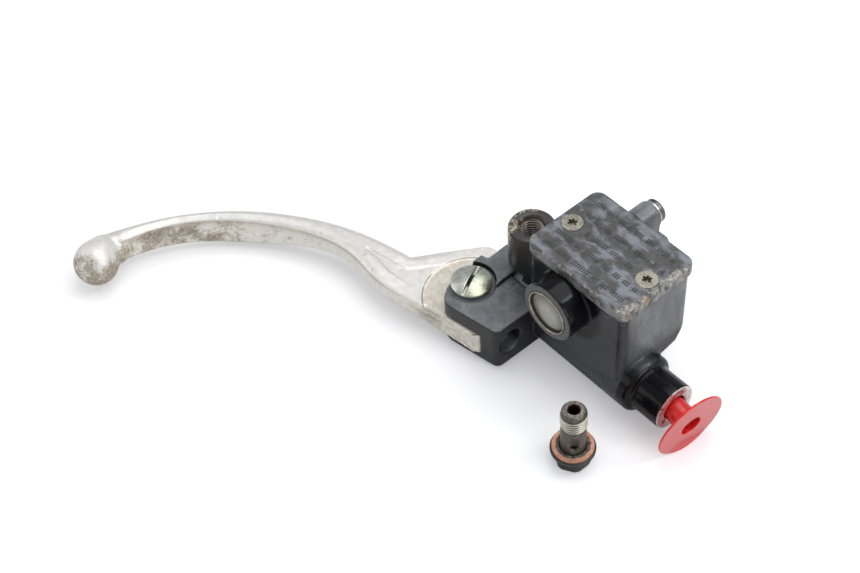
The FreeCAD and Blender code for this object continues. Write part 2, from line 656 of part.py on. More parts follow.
# ---------------------------------------------------------------- handlebar clamp
def clamp_cap():
    cap = rod_x(CLAMP_R, -CLAMP_HALF_WIDTH, CLAMP_HALF_WIDTH, 0, 0)
    for z in (LUG_Z, -LUG_Z):
        lug = rod_y(LUG_R, 0, LUG_LENGTH, 0, z)
        cap = cap.fuse(round_edges(lug, 0.8, lambda e: e.BoundBox.YMin > LUG_LENGTH - 0.1))
        cap = cap.fuse(box(-LUG_R, LUG_R, 0, LUG_LENGTH - 1, min(z, 0.6 * z), max(z, 0.6 * z)))
    cap = cap.cut(box(-30, 30, -40, CLAMP_GAP, -40, 40))
    cap = cap.cut(rod_x(BAR_R, -20, 20, 0, 0))
    for z in (LUG_Z, -LUG_Z):
        cap = cap.cut(rod_y(CLAMP_HOLE_R, -1, 20, 0, z))
        cap = cap.cut(rod_y(SPOT_FACE_R, LUG_LENGTH, 20, 0, z))
    return cap.removeSplitter()


def clamp_bolts():
    bolts = []
    for z in (LUG_Z, -LUG_Z):
        head_y = LUG_LENGTH + 0.9
        shank = rod_y(CLAMP_BOLT_R, -10.5, head_y, 0, z)
        head = rod_y(4.5, head_y, head_y + 2.4, 0, z)
        head = round_edges(head, 0.9, lambda e: e.BoundBox.YMin > head_y + 2.3)
        socket = hexagon_z(4.0, 0, 3, 0, 0)
        socket.rotate(V(0, 0, 0), X_AXIS, -90)
        socket.translate(V(0, head_y + 0.8, z))
        bolts.append(shank.fuse(head).cut(socket).removeSplitter())
    return Part.makeCompound(bolts)


def clamp_washers():
    rings = []
    for z in (LUG_Z, -LUG_Z):
        ring = rod_y(4.7, LUG_LENGTH, LUG_LENGTH + 0.9, 0, z)
        rings.append(ring.cut(rod_y(CLAMP_BOLT_R + CLEARANCE, LUG_LENGTH - 1, LUG_LENGTH + 2, 0, z)))
    return Part.makeCompound(rings)


# ---------------------------------------------------------------- outlet plug and hose bolt
def outlet_plug():
    """The soft cap that closes the empty outlet: a hollow barrel and a wide thin flange."""
    length = PLUG_FLANGE - PLUG_START
    start = V(PLUG_START, 0, 0)
    barrel = Part.makeCone(PLUG_R[0], PLUG_R[1], length, start, X_AXIS)
    flange = Part.makeCylinder(FLANGE_R, FLANGE_T, V(PLUG_FLANGE - FLANGE_T, 0, 0), X_AXIS)
    flange = round_edges(flange, 0.3, lambda e: e.BoundBox.YLength > FLANGE_R)
    hollow = Part.makeCone(PLUG_R[0] - PLUG_WALL, PLUG_R[1] - PLUG_WALL, length, start + V(1.0, 0, 0), X_AXIS)
    plug = barrel.fuse(flange).cut(hollow).removeSplitter()
    plug.rotate(V(0, 0, 0), Y_AXIS, PLUG_DIP)
    plug.rotate(V(0, 0, 0), Z_AXIS, PLUG_YAW)
    plug.translate(V(OUTLET_X - 1.2, BORE_Y, BORE_Z))
    return plug


def banjo_bolt():
    """The hollow hose bolt, stood on its head: hexagon, collar, waist with a cross hole, thread."""
    head_top = TABLE_Z + 6.0
    collar_top = head_top + BOLT_COLLAR_T
    end = collar_top + BOLT_LENGTH
    thread_bottom = end - 8.4
    tip_bottom = end - 1.9
    head = hexagon_z(12.0, TABLE_Z, head_top, BOLT_X, BOLT_Y)
    head = head.common(cone_z(6.2, 9.5, TABLE_Z, head_top, BOLT_X, BOLT_Y))
    collar = rod_z(8.2, head_top, collar_top, BOLT_X, BOLT_Y)
    waist = rod_z(4.6, collar_top, thread_bottom, BOLT_X, BOLT_Y)
    thread = rod_z(BOLT_R, thread_bottom, tip_bottom, BOLT_X, BOLT_Y)
    tip = cone_z(BOLT_R - 0.3, BOLT_R - 1.3, tip_bottom, end, BOLT_X, BOLT_Y)
    bolt = head.fuse([collar, waist, thread, tip])
    bolt = bolt.cut(rod_z(2.1, head_top + 1, end + 1, BOLT_X, BOLT_Y))
    cross_hole = rod_y(1.6, BOLT_Y - 10, BOLT_Y + 10, BOLT_X, collar_top + 5.0)
    cross_hole.rotate(V(BOLT_X, BOLT_Y, 0), Z_AXIS, CROSS_HOLE_TURN)
    return bolt.cut(cross_hole).removeSplitter()


def banjo_washer():
    base = TABLE_Z + 6.0 + BOLT_COLLAR_T
    ring = rod_z(7.5, base, base + 1.2, BOLT_X, BOLT_Y)
    return ring.cut(rod_z(BOLT_R + 0.15, base - 1, base + 2, BOLT_X, BOLT_Y))


PARTS = {
    "cylinder_body": cylinder_body,
    "reservoir_lid": reservoir_lid,
    "lid_screws": lid_screws,
    "diaphragm": diaphragm,
    "diaphragm_plate": diaphragm_plate,
    "port_baffle": port_baffle,
    "sight_seal": sight_seal,
    "sight_glass": sight_glass,
    "sight_ring": sight_ring,
    "sight_reflector": sight_reflector,
    "piston": piston,
    "secondary_cup": secondary_cup,
    "primary_cup": primary_cup,
    "spring_seat": spring_seat,
    "return_spring": return_spring,
    "piston_washer": piston_washer,
    "circlip": circlip,
    "dust_boot": dust_boot,
    "lever": lever,
    "lever_bush": lever_bush,
    "pivot_screw": pivot_screw,
    "pivot_washer": pivot_washer,
    "pivot_nut": pivot_nut,
    "clamp_cap": clamp_cap,
    "clamp_bolts": clamp_bolts,
    "clamp_washers": clamp_washers,
    "outlet_plug": outlet_plug,
    "banjo_bolt": banjo_bolt,
    "banjo_washer": banjo_washer,
}

os.makedirs("parts", exist_ok=True)
for name, make in PARTS.items():
    shape = make()
    shape.exportStep("parts/" + name + ".step")
    print(name, "valid", shape.isValid(), "solids", len(shape.Solids), "volume", round(shape.Volume, 1))
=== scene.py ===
import json
import math
import random

import bmesh
import bpy
from mathutils import Matrix, Vector
from mathutils.bvhtree import BVHTree


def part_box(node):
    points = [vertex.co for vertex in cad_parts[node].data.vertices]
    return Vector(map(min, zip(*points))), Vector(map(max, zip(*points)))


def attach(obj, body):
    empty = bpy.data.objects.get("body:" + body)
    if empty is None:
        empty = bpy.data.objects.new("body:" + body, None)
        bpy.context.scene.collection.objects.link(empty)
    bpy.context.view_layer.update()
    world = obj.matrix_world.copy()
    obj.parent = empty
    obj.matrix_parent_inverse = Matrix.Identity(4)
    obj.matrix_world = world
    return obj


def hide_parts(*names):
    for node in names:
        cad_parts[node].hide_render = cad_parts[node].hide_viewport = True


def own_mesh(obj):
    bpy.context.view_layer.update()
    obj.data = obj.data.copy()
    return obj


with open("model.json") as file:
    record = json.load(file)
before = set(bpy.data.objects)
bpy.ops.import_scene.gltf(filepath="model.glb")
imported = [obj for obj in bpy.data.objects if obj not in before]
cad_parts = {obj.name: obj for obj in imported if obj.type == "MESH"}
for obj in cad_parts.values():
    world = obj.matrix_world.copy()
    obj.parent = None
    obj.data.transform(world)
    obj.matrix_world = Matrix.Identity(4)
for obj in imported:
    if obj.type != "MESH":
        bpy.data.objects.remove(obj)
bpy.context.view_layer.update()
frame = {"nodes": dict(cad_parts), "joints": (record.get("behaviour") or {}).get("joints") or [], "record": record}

MM = 0.001
NODES = frame["nodes"]
ROOT = "body"


# ---------------------------------------------------------------- places, all from the frame, in metres
def corners(node):
    low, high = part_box(node)
    return Vector(low), Vector(high)


def centre(node):
    low, high = corners(node)
    return (low + high) / 2


def joint(name):
    return [j for j in frame["joints"] if j["name"] == name][0]


MOUNTS = {m["name"]: m for m in frame["record"]["mounts"]}
LID_LOW, LID_HIGH = corners("reservoir_lid")
PIVOT = Vector(joint("lever_pivot")["pos_m"])
PIVOT_HEAD = corners("pivot_screw")[1]
SIGHT = centre("sight_ring")
SIGHT_FRONT = corners("sight_ring")[0].y
SIGHT_RING_R = (corners("sight_ring")[1].x - corners("sight_ring")[0].x) / 2
GLASS_R = 0.0080
BORE = centre("piston")
OUTLET_X = MOUNTS["outlet_port"]["pos_m"][0]
MIRROR = Vector(MOUNTS["mirror_thread"]["pos_m"])
MIRROR_R = MOUNTS["mirror_thread"]["dims"]["r_mm"] * MM
MIRROR_TOP = MIRROR.z + 8.3 * MM
MIRROR_BOSS_R = 8.8 * MM
LEVER_LOW, LEVER_HIGH = corners("lever")
BALL_R = (LEVER_HIGH.z - LEVER_LOW.z) / 2
BALL = LEVER_LOW + Vector((BALL_R, BALL_R, BALL_R))
LEVER_TOP = PIVOT.z + 5.2 * MM
STEP_R = 18.6 * MM
BOLT_LOW, BOLT_HIGH = corners("banjo_bolt")
BOLT = centre("banjo_washer")
TABLE_Z = BOLT_LOW.z


# ---------------------------------------------------------------- material graph helper
class Graph:
    """Builds one procedural material. Lengths are in millimetres of the object's own frame."""

    def __init__(self, name):
        self.material = bpy.data.materials.new(name)
        self.material.use_nodes = True
        self.tree = self.material.node_tree
        self.shader = self.tree.nodes["Principled BSDF"]
        place = self.node("TexCoord").outputs["Object"]
        self.place = self.node("VectorMath", {0: place, "Scale": 1 / MM}, operation="SCALE").outputs[0]
        self.x, self.y, self.z = self.node("SeparateXYZ", {0: self.place}).outputs
        self.bumps = []

    def node(self, kind, inputs=None, **settings):
        """A new shader node; inputs maps an input's name or number to a value or another node's output."""
        node = self.tree.nodes.new("ShaderNode" + kind)
        for name, value in settings.items():
            setattr(node, name, value)
        for key, value in (inputs or {}).items():
            self.join(value, node.inputs[key])
        return node

    def join(self, source, target):
        if isinstance(source, bpy.types.NodeSocket):
            self.tree.links.new(source, target)
        else:
            target.default_value = source

    def noise(self, size, detail=6.0, rough=0.6, stretch=(1, 1, 1), offset=(0, 0, 0), warp=0.0):
        """A cloud pattern from 0 to 1 whose blobs are about size millimetres across."""
        place = self.node("Mapping", {"Vector": self.place, "Scale": stretch, "Location": offset}).outputs[0]
        inputs = {"Vector": place, "Scale": 1 / size, "Detail": detail, "Roughness": rough}
        return self.node("TexNoise", {**inputs, "Distortion": warp}).outputs["Fac"]

    def ramp(self, value, *stops):
        """Maps a value to a colour or grey through (place, colour) stops."""
        node = self.node("ValToRGB", {0: value})
        elements = node.color_ramp.elements
        while len(elements) < len(stops):
            elements.new(0.5)
        for element, (position, colour) in zip(elements, stops):
            element.position = position
            grey = isinstance(colour, (int, float))
            element.color = (colour, colour, colour, 1) if grey else (*colour, 1)
        return node.outputs["Color"]

    def mix(self, amount, first, second):
        """The first colour or grey where amount is 0, the second where it is 1."""
        node = self.node("Mix", {0: amount}, data_type="RGBA")
        for value, socket in ((first, node.inputs[6]), (second, node.inputs[7])):
            if isinstance(value, float):
                value = (value, value, value)
            self.join((*value, 1) if isinstance(value, tuple) else value, socket)
        return node.outputs[2]

    def maths(self, operation, first, second=0.0, clamp=False):
        return self.node("Math", {0: first, 1: second}, operation=operation, use_clamp=clamp).outputs[0]

    def times(self, value, *others):
        for other in others:
            value = self.maths("MULTIPLY", value, other, clamp=True)
        return value

    def plus(self, first, second):
        return self.maths("ADD", first, second, clamp=True)

    def minus(self, first, second):
        return self.maths("SUBTRACT", first, second, clamp=True)

    def rest(self, value):
        """What is left of 1."""
        return self.minus(1.0, value)

    def most(self, first, *others):
        for other in others:
            first = self.maths("MAXIMUM", first, other)
        return first

    def band(self, value, middle, full, none):
        """1 where value is within full of middle, 0 where it is further than none."""
        gap = self.maths("ABSOLUTE", self.maths("SUBTRACT", value, middle))
        return self.between(gap, none, full)

    def between(self, value, start, end):
        """0 where value is at start, 1 at end, smooth in between."""
        inputs = {"Value": value, "From Min": start, "From Max": end}
        return self.node("MapRange", inputs, interpolation_type="SMOOTHSTEP").outputs[0]

    def distance(self, point):
        """Distance in millimetres from point, which is in metres."""
        inputs = {0: self.place, 1: Vector(point) / MM}
        return self.node("VectorMath", inputs, operation="DISTANCE").outputs["Value"]

    def distance_in_plan(self, point):
        """Distance in millimetres from the upright line through point, which is in metres."""
        flat = self.node("VectorMath", {0: self.place, 1: (1, 1, 0)}, operation="MULTIPLY").outputs[0]
        inputs = {0: flat, 1: (point[0] / MM, point[1] / MM, 0)}
        return self.node("VectorMath", inputs, operation="DISTANCE").outputs["Value"]

    def pointed(self, start, end):
        """1 on convex edges, 0 on flats."""
        return self.between(self.node("NewGeometry").outputs["Pointiness"], start, end)

    def facing(self, axis):
        """How far the surface faces along +axis, from -1 to 1."""
        normal = self.node("NewGeometry").outputs["Normal"]
        return self.node("SeparateXYZ", {0: normal}).outputs[axis]

    def bump(self, height, depth):
        """Adds relief of about depth millimetres."""
        inputs = {"Strength": 1.0, "Distance": depth * MM, "Height": height}
        if self.bumps:
            inputs["Normal"] = self.bumps[-1]
        self.bumps.append(self.node("Bump", inputs).outputs["Normal"])

    def finish(self, colour, roughness, metallic=0.0, **others):
        self.join(colour, self.shader.inputs["Base Color"])
        self.join(roughness, self.shader.inputs["Roughness"])
        self.join(metallic, self.shader.inputs["Metallic"])
        for name, value in others.items():
            self.join(value, self.shader.inputs[name.replace("_", " ")])
        if self.bumps:
            self.join(self.bumps[-1], self.shader.inputs["Normal"])
        return self.material


# ---------------------------------------------------------------- materials
def wall_tones(g, blotch, up_facing):
    """Charcoal: paler low down as a painted table reflection, a streaked painted reflection on the outlet wall,
    lighter on top as a painted reflection of the overhead light, and painted shade near black on the fork's sides.
    """
    colour = g.ramp(blotch, (0.3, (0.012, 0.013, 0.015)), (0.7, (0.023, 0.024, 0.028)))
    # painted reflection: the walls paled toward the bottom, where they would mirror the white table
    lower = g.between(g.z, 22.0, -10.0)
    colour = g.mix(g.times(lower, 0.40), colour, (0.070, 0.072, 0.078))

    # painted reflection: the wall facing the outlet is painted lighter in streaks, brighter higher up and away
    # from the front corner
    outlet_wall = g.between(g.facing("X"), 0.70, 0.95)
    wall_reflection_streaks = g.noise(6.0, 6, 0.6, (1, 1.2, 0.35), warp=0.4)
    wall_reflection_streaks = g.ramp(wall_reflection_streaks, (0.35, (0.100, 0.104, 0.111)), (0.65, (0.185, 0.192, 0.205)))
    higher = g.between(g.z, -6.0, 18.0)
    from_corner = g.between(g.y, LID_LOW.y / MM + 0.5, LID_LOW.y / MM + 11.0)
    lit = g.times(g.plus(0.40, g.times(higher, 0.75)), g.plus(0.25, from_corner))
    colour = g.mix(g.times(outlet_wall, lit), colour, wall_reflection_streaks)

    # painted reflection: upward faces lightened where they would mirror the overhead light
    top_sheen = g.noise(5.0, 8, 0.68, warp=0.5)
    top_sheen = g.ramp(top_sheen, (0.35, (0.115, 0.122, 0.132)), (0.65, (0.225, 0.237, 0.254)))
    colour = g.mix(up_facing, colour, top_sheen)
    # painted shade: the fork's side walls, not its top, darkened to near black
    fork = g.between(g.distance_in_plan(PIVOT), 33.0, 29.0)
    return g.mix(g.times(fork, g.rest(up_facing), 0.7), colour, (0.010, 0.010, 0.012))


def gloss_zones(g, blotch):
    """Where the paint is glossy black, round the outlet and the barrel, and the barrel's scratched face."""
    barrel = g.distance((SIGHT.x, SIGHT.y + 5 * MM, SIGHT.z))
    ragged = g.plus(g.times(barrel, 0.05), g.times(blotch, 0.16))
    outward = g.between(g.x, LID_HIGH.x / MM - 1.6, LID_HIGH.x / MM - 0.2)
    low_down = g.between(g.z, 6.0, 0.0)
    glossy = g.most(g.between(ragged, 1.02, 0.86), g.times(outward, low_down))
    face = g.between(g.y, SIGHT_FRONT / MM + 0.75, SIGHT_FRONT / MM + 0.45)
    face = g.times(face, g.between(barrel, 13.6, 13.0))
    return g.times(glossy, g.rest(face)), face


def dusted(g, colour, glossy, face):
    """Thin dust over the satin paint and grit packed under the lid."""
    dust = g.ramp(g.noise(4.0, 8, 0.7), (0.50, 0.0), (0.75, 1.0))
    colour = g.mix(g.times(dust, 0.12, g.rest(glossy)), colour, (0.16, 0.155, 0.145))
    below_lid = g.between(g.z, 23.0, 29.5)
    grit = g.between(g.noise(1.1, 9, 0.8, offset=(5, 2, 8)), 0.50, 0.60)
    grit = g.times(below_lid, grit, g.rest(glossy), g.rest(face))
    return g.mix(g.times(grit, 0.45), colour, (0.15, 0.14, 0.115))


def worn_boss(g, edge_noise, boss):
    """Bare metal on the mirror boss: a broken line round its rim and a knocked patch on its outer side."""
    rim_side = g.between(g.x, MIRROR.x / MM - 2.0, MIRROR.x / MM - 5.0)
    near_top = g.between(g.z, MIRROR_TOP / MM - 9.0, MIRROR_TOP / MM - 4.0)
    rim = MIRROR_BOSS_R / MM
    chamfer = g.between(g.distance_in_plan(MIRROR), rim - 2.4, rim - 1.3)
    worn_rim = g.times(boss, near_top, g.between(edge_noise, 0.49, 0.53), chamfer, rim_side)
    outer_side = Vector((-0.654, -0.755, 0)) * MIRROR_BOSS_R
    knock = Vector((MIRROR.x, MIRROR.y, MIRROR_TOP - 1.5 * MM)) + outer_side
    knocked = g.between(g.distance(knock), 6.5, 3.0)
    knocked = g.between(g.plus(g.times(knocked, 0.22), edge_noise), 0.69, 0.75)
    return g.most(worn_rim, knocked)


def cast_paint():
    """Satin charcoal paint over a casting, worn to metal at its edges, with a machined outlet face and painted
    highlights along its rounded edges.
    """
    g = Graph("satin_charcoal_paint")
    blotch = g.noise(9.0, 5, 0.6)
    pits = g.noise(0.55, 5, 0.7)
    edge_noise = g.noise(1.3, 8, 0.75, warp=0.8)
    up_facing = g.between(g.facing("Z"), 0.35, 0.95)
    glossy, face = gloss_zones(g, blotch)
    colour = g.mix(glossy, wall_tones(g, blotch, up_facing), (0.004, 0.004, 0.005))
    scratched = g.ramp(g.noise(1.2, 7, 0.7), (0.35, (0.060, 0.061, 0.062)), (0.65, (0.135, 0.137, 0.138)))
    colour = dusted(g, g.mix(face, colour, scratched), glossy, face)

    boss = g.between(g.distance((MIRROR.x, MIRROR.y, MIRROR_TOP - 3 * MM)), 12.5, 9.0)
    rust = g.mix(g.noise(1.6, 5, 0.6), (0.010, 0.008, 0.007), (0.044, 0.031, 0.025))
    colour = g.mix(g.times(boss, 0.85), colour, rust)
    # painted highlight: convex edges lightened as if catching the light, less where the paint is glossy
    edge_highlight = g.times(g.pointed(0.530, 0.560), g.minus(0.45, g.times(glossy, 0.45)))
    colour = g.mix(edge_highlight, colour, (0.26, 0.27, 0.29))
    worn_edge = g.times(g.pointed(0.53, 0.58), g.between(edge_noise, 0.50, 0.60), g.rest(glossy), 0.35)
    bare = g.most(worn_edge, worn_boss(g, edge_noise, boss))
    colour = g.mix(bare, colour, (0.62, 0.58, 0.44))

    outlet_face = g.between(g.x, OUTLET_X / MM - 0.55, OUTLET_X / MM - 0.3)
    smear = g.between(g.noise(3.0, 6, 0.6, offset=(3, 9, 2)), 0.51, 0.62)
    machined = g.mix(smear, (0.86, 0.85, 0.84), (0.42, 0.16, 0.16))
    colour = g.mix(outlet_face, colour, machined)
    metal = g.most(bare, outlet_face)

    rough = g.ramp(blotch, (0.3, 0.22), (0.7, 0.34))
    rough = g.mix(glossy, rough, g.ramp(pits, (0.4, 0.04), (0.7, 0.11)))
    rough = g.mix(face, rough, 0.42)
    rough = g.mix(metal, rough, g.ramp(edge_noise, (0.4, 0.3), (0.6, 0.5)))
    sheen = g.plus(g.minus(0.32, g.times(glossy, 0.20)), g.times(up_facing, g.rest(glossy), 0.2))
    g.bump(pits, 0.03)
    g.bump(g.noise(1.7, 6, 0.6), 0.06)
    g.bump(g.noise(7.0, 3, 0.5), 0.22)
    g.bump(g.rest(metal), 0.05)
    return g.finish(colour, rough, g.times(metal, 0.75), Coat_Weight=g.times(glossy, 0.14),
                    Coat_Roughness=0.06, Specular_IOR_Level=sheen)


def lid_paint():
    """Dark worn paint with blue-grey smears, rubbed to dull metal along the outlet edge and its corner."""
    g = Graph("worn_lid_paint")
    grain = g.noise(0.45, 6, 0.7)
    patch = g.noise(3.0, 8, 0.62, warp=0.6)
    colour = g.ramp(g.noise(3.5, 8, 0.68), (0.35, (0.042, 0.042, 0.043)), (0.65, (0.098, 0.096, 0.096)))
    smear = g.ramp(g.noise(4.6, 7, 0.62, (0.6, 1.0, 1), (2, 5, 0), 0.35), (0.46, 0.0), (0.62, 1.0))
    raised = g.between(g.z, LID_HIGH.z / MM + 0.05, LID_HIGH.z / MM + 0.12)
    smear = g.times(smear, g.rest(raised))
    colour = g.mix(g.times(smear, 0.85), colour, (0.245, 0.265, 0.305))
    dusty = g.between(g.noise(0.8, 8, 0.78, offset=(1, 7, 0)), 0.54, 0.68)
    colour = g.mix(g.times(dusty, 0.32), colour, (0.22, 0.20, 0.17))

    outlet_edge = g.between(g.x, LID_HIGH.x / MM - 5.6, LID_HIGH.x / MM)
    front_edge = g.between(g.y, LID_LOW.y / MM + 2.2, LID_LOW.y / MM)
    corner = g.between(g.distance((LID_HIGH.x, LID_LOW.y, LID_HIGH.z)), 10.5, 2.0)
    far_corner = g.between(g.distance((LID_LOW.x, LID_LOW.y, LID_HIGH.z)), 7.0, 1.0)
    near = g.most(outlet_edge, g.times(front_edge, 0.55), corner, far_corner)
    rubbed = g.between(g.plus(patch, g.times(near, 0.17)), 0.57, 0.70)
    edges = g.times(g.pointed(0.52, 0.57), g.between(g.noise(0.9, 8, 0.75), 0.44, 0.58))
    rubbed = g.times(g.most(rubbed, edges), g.times(near, 1.4))
    flakes = ((0.30, (0.085, 0.080, 0.070)), (0.50, (0.30, 0.29, 0.265)), (0.66, (0.58, 0.565, 0.53)))
    bare = g.ramp(g.noise(1.4, 8, 0.68), *flakes)
    rust_place = (LID_HIGH.x, LID_LOW.y + 11 * MM, LID_HIGH.z - 1 * MM)
    rust_spot = g.between(g.distance(rust_place), 2.4, 0.5)
    rust_spot = g.times(rust_spot, g.between(g.noise(1.6, 6, 0.7), 0.38, 0.52))
    bare = g.mix(g.times(rust_spot, 0.8), bare, (0.32, 0.205, 0.085))
    colour = g.mix(rubbed, colour, bare)
    g.bump(grain, 0.06)
    g.bump(g.noise(1.2, 8, 0.72), 0.14)
    g.bump(g.rest(rubbed), 0.08)
    rough = g.mix(rubbed, g.ramp(grain, (0.3, 0.36), (0.7, 0.52)), g.ramp(grain, (0.3, 0.40), (0.7, 0.62)))
    return g.finish(colour, rough, g.times(rubbed, 0.6))


def grip_grime(g, side, ball_side, pores):
    """How dirty the lever is: worst on its grip's sides, under its ball and on the ball's rubbed spot."""
    tip = g.between(g.x, -98.0, -140.0)
    low_ball = g.times(ball_side, g.between(g.z, BALL.z / MM + 5.0, BALL.z / MM - 1.0))
    rubbed_spot = BALL + Vector((0.20, -0.78, 0.55)) * BALL_R
    worn_ball = g.between(g.distance(rubbed_spot), BALL_R / MM * 0.95, BALL_R / MM * 0.25)
    reach = g.times(g.plus(g.times(tip, 0.75), 0.08), side)
    reach = g.plus(reach, g.times(low_ball, 0.45))
    reach = g.plus(reach, g.times(worn_ball, 0.85))
    broad = g.noise(7.0, 6, 0.62, warp=0.6)
    patchy = g.plus(g.times(broad, 0.62), g.times(g.noise(1.5, 9, 0.78, warp=0.5), 0.38))
    dirty = g.between(g.plus(patchy, g.times(reach, 0.20)), 0.555, 0.735)
    scored = g.between(g.noise(1.6, 8, 0.75, (1.0, 1.0, 3.2), (3, 1, 6), 0.8), 0.50, 0.62)
    scored = g.times(scored, g.most(worn_ball, g.times(low_ball, 0.5)))
    specks = g.between(g.plus(pores, g.times(dirty, 0.10)), 0.655, 0.72)
    return dirty, scored, specks


def hub_marks(g, colour, side):
    """Marks round the hub: a dirty tail, a tinted step with a broken dark line, and smut at the kink."""
    top = LEVER_TOP / MM
    tail = g.between(g.x, PIVOT.x / MM - 22.0, PIVOT.x / MM + 2.0)
    tail = g.times(side, tail, g.between(g.noise(2.4, 8, 0.72, offset=(6, 0, 3)), 0.36, 0.60))
    colour = g.mix(g.times(tail, 0.5), colour, (0.42, 0.36, 0.27))

    across = g.distance_in_plan(PIVOT)
    inside_step = g.between(across, STEP_R / MM + 0.2, STEP_R / MM - 0.2)
    inside_step = g.times(inside_step, g.between(g.z, top - 1.2, top - 0.8))
    tint = g.between(g.noise(2.2, 9, 0.75), 0.30, 0.66)
    colour = g.mix(g.times(inside_step, tint, 0.75), colour, (0.60, 0.51, 0.36))
    line = g.times(g.band(across, STEP_R / MM, 0.12, 0.36), g.between(g.facing("Z"), 0.3, 0.6))
    broken = g.between(g.noise(5.0, 4, 0.6), 0.38, 0.50)
    colour = g.mix(g.times(line, broken, 0.8), colour, (0.13, 0.11, 0.09))

    kink_place = Vector((PIVOT.x, PIVOT.y, LEVER_TOP)) + Vector((-5.5, -16.3, -1.0)) * MM
    kink = g.between(g.distance(kink_place), 13.0, 1.0)
    smut = g.plus(g.noise(3.2, 7, 0.62, (0.6, 0.9, 1.6), warp=0.3), g.times(kink, 0.16))
    smut = g.times(g.between(smut, 0.44, 0.80), g.plus(0.25, side), kink, 0.8)
    return g.mix(smut, colour, (0.16, 0.135, 0.10))


def lever_alloy():
    """Pale cast and rubbed aluminium, brown grime in its pores, worst round the ball and under it, with painted
    shade on its downward faces.
    """
    g = Graph("rubbed_cast_aluminium")
    side = g.between(g.facing("Z"), 0.75, 0.20)
    under = g.between(g.facing("Z"), 0.0, -0.6)
    ball_side = g.between(g.distance(BALL), BALL_R / MM + 3.0, BALL_R / MM)
    pores = g.noise(0.8, 9, 0.80, warp=0.4)
    clean = g.ramp(g.noise(3.0, 8, 0.66), (0.3, (0.76, 0.745, 0.70)), (0.7, (0.90, 0.89, 0.865)))
    stained = g.ramp(g.noise(2.0, 8, 0.7), (0.3, (0.74, 0.705, 0.62)), (0.7, (0.95, 0.92, 0.86)))
    colour = g.mix(g.times(side, 0.85), clean, stained)
    # painted shade: downward faces darkened
    colour = g.mix(g.times(under, 0.7), colour, (0.24, 0.22, 0.18))
    dirty, scored, specks = grip_grime(g, side, ball_side, pores)
    grime = g.ramp(g.noise(1.0, 9, 0.78), (0.36, (0.100, 0.072, 0.043)), (0.62, (0.52, 0.445, 0.330)))
    colour = g.mix(g.times(dirty, 0.88), colour, grime)
    colour = g.mix(g.times(scored, 0.85), colour, (0.115, 0.085, 0.062))
    colour = g.mix(g.times(specks, 0.75), colour, (0.07, 0.055, 0.04))
    colour = hub_marks(g, colour, side)

    top = LEVER_TOP / MM
    ridge = g.times(g.between(g.z, top - 1.5, top - 0.9), g.between(g.z, top - 0.15, top - 0.6))
    ridge = g.times(ridge, g.between(g.x, -40.0, -60.0), side, g.rest(ball_side))
    colour = g.mix(g.times(ridge, 0.60), colour, (0.36, 0.27, 0.235))

    rough = g.ramp(g.noise(2.5, 7, 0.7), (0.3, 0.27), (0.7, 0.42))
    dull = g.most(g.times(side, 0.6), g.times(ball_side, 0.8))
    rough = g.mix(g.most(dirty, dull), rough, 0.55)
    g.bump(g.noise(0.5, 6, 0.7, (0.08, 1.6, 1.6)), 0.015)
    g.bump(pores, 0.06)
    g.bump(g.noise(6.0, 4, 0.5), 0.22)
    return g.finish(colour, rough, g.minus(0.55, g.times(g.most(dirty, side), 0.30)))


def zinc(name, tint, grime=0.5, size=1.2):
    """Plated steel: bright, clouded and speckled with dirt."""
    g = Graph(name)
    cloud = g.noise(size * 3, 7, 0.65, warp=0.8)
    pale = tuple(min(1.0, c * 1.15) for c in tint)
    dull = tuple(c * 0.62 for c in tint)
    colour = g.ramp(cloud, (0.32, dull), (0.62, pale))
    dirt = g.times(g.between(g.noise(size, 9, 0.78, offset=(4, 1, 7)), 0.53, 0.66), grime)
    colour = g.mix(dirt, colour, (0.10, 0.085, 0.06))
    g.bump(g.noise(size * 0.5, 7, 0.7), 0.05)
    rough = g.ramp(cloud, (0.3, 0.20), (0.7, 0.38))
    rough = g.mix(dirt, rough, 0.7)
    return g.finish(colour, rough, g.rest(g.times(dirt, 0.8)))


def pivot_zinc():
    """Bright zinc on the domed pivot head, yellowish to one side and flecked with dirt, near black in its slot and
    under the head.
    """
    g = Graph("bright_domed_zinc")
    cloud = g.noise(3.4, 8, 0.68, warp=0.9)
    colour = g.ramp(cloud, (0.32, (0.40, 0.41, 0.36)), (0.60, (0.70, 0.72, 0.66)))
    yellow = g.between(g.x, PIVOT.x / MM - 2.0, PIVOT.x / MM + 7.0)
    colour = g.mix(g.times(yellow, 0.55), colour, (0.42, 0.43, 0.26))
    dirt = g.between(g.noise(0.9, 9, 0.8, offset=(4, 1, 7)), 0.57, 0.66)
    colour = g.mix(g.times(dirt, 0.45), colour, (0.12, 0.10, 0.07))
    # the slot's floor and everything under the head made near black, dull and barely metallic
    below = g.between(g.distance((PIVOT.x, PIVOT.y, PIVOT_HEAD.z - 9 * MM)), 8.05, 7.5)
    colour = g.mix(below, colour, (0.012, 0.011, 0.010))
    g.bump(g.noise(0.7, 7, 0.7), 0.05)
    rough = g.ramp(cloud, (0.3, 0.22), (0.7, 0.36))
    return g.finish(colour, g.mix(below, rough, 0.8), g.minus(0.95, below))


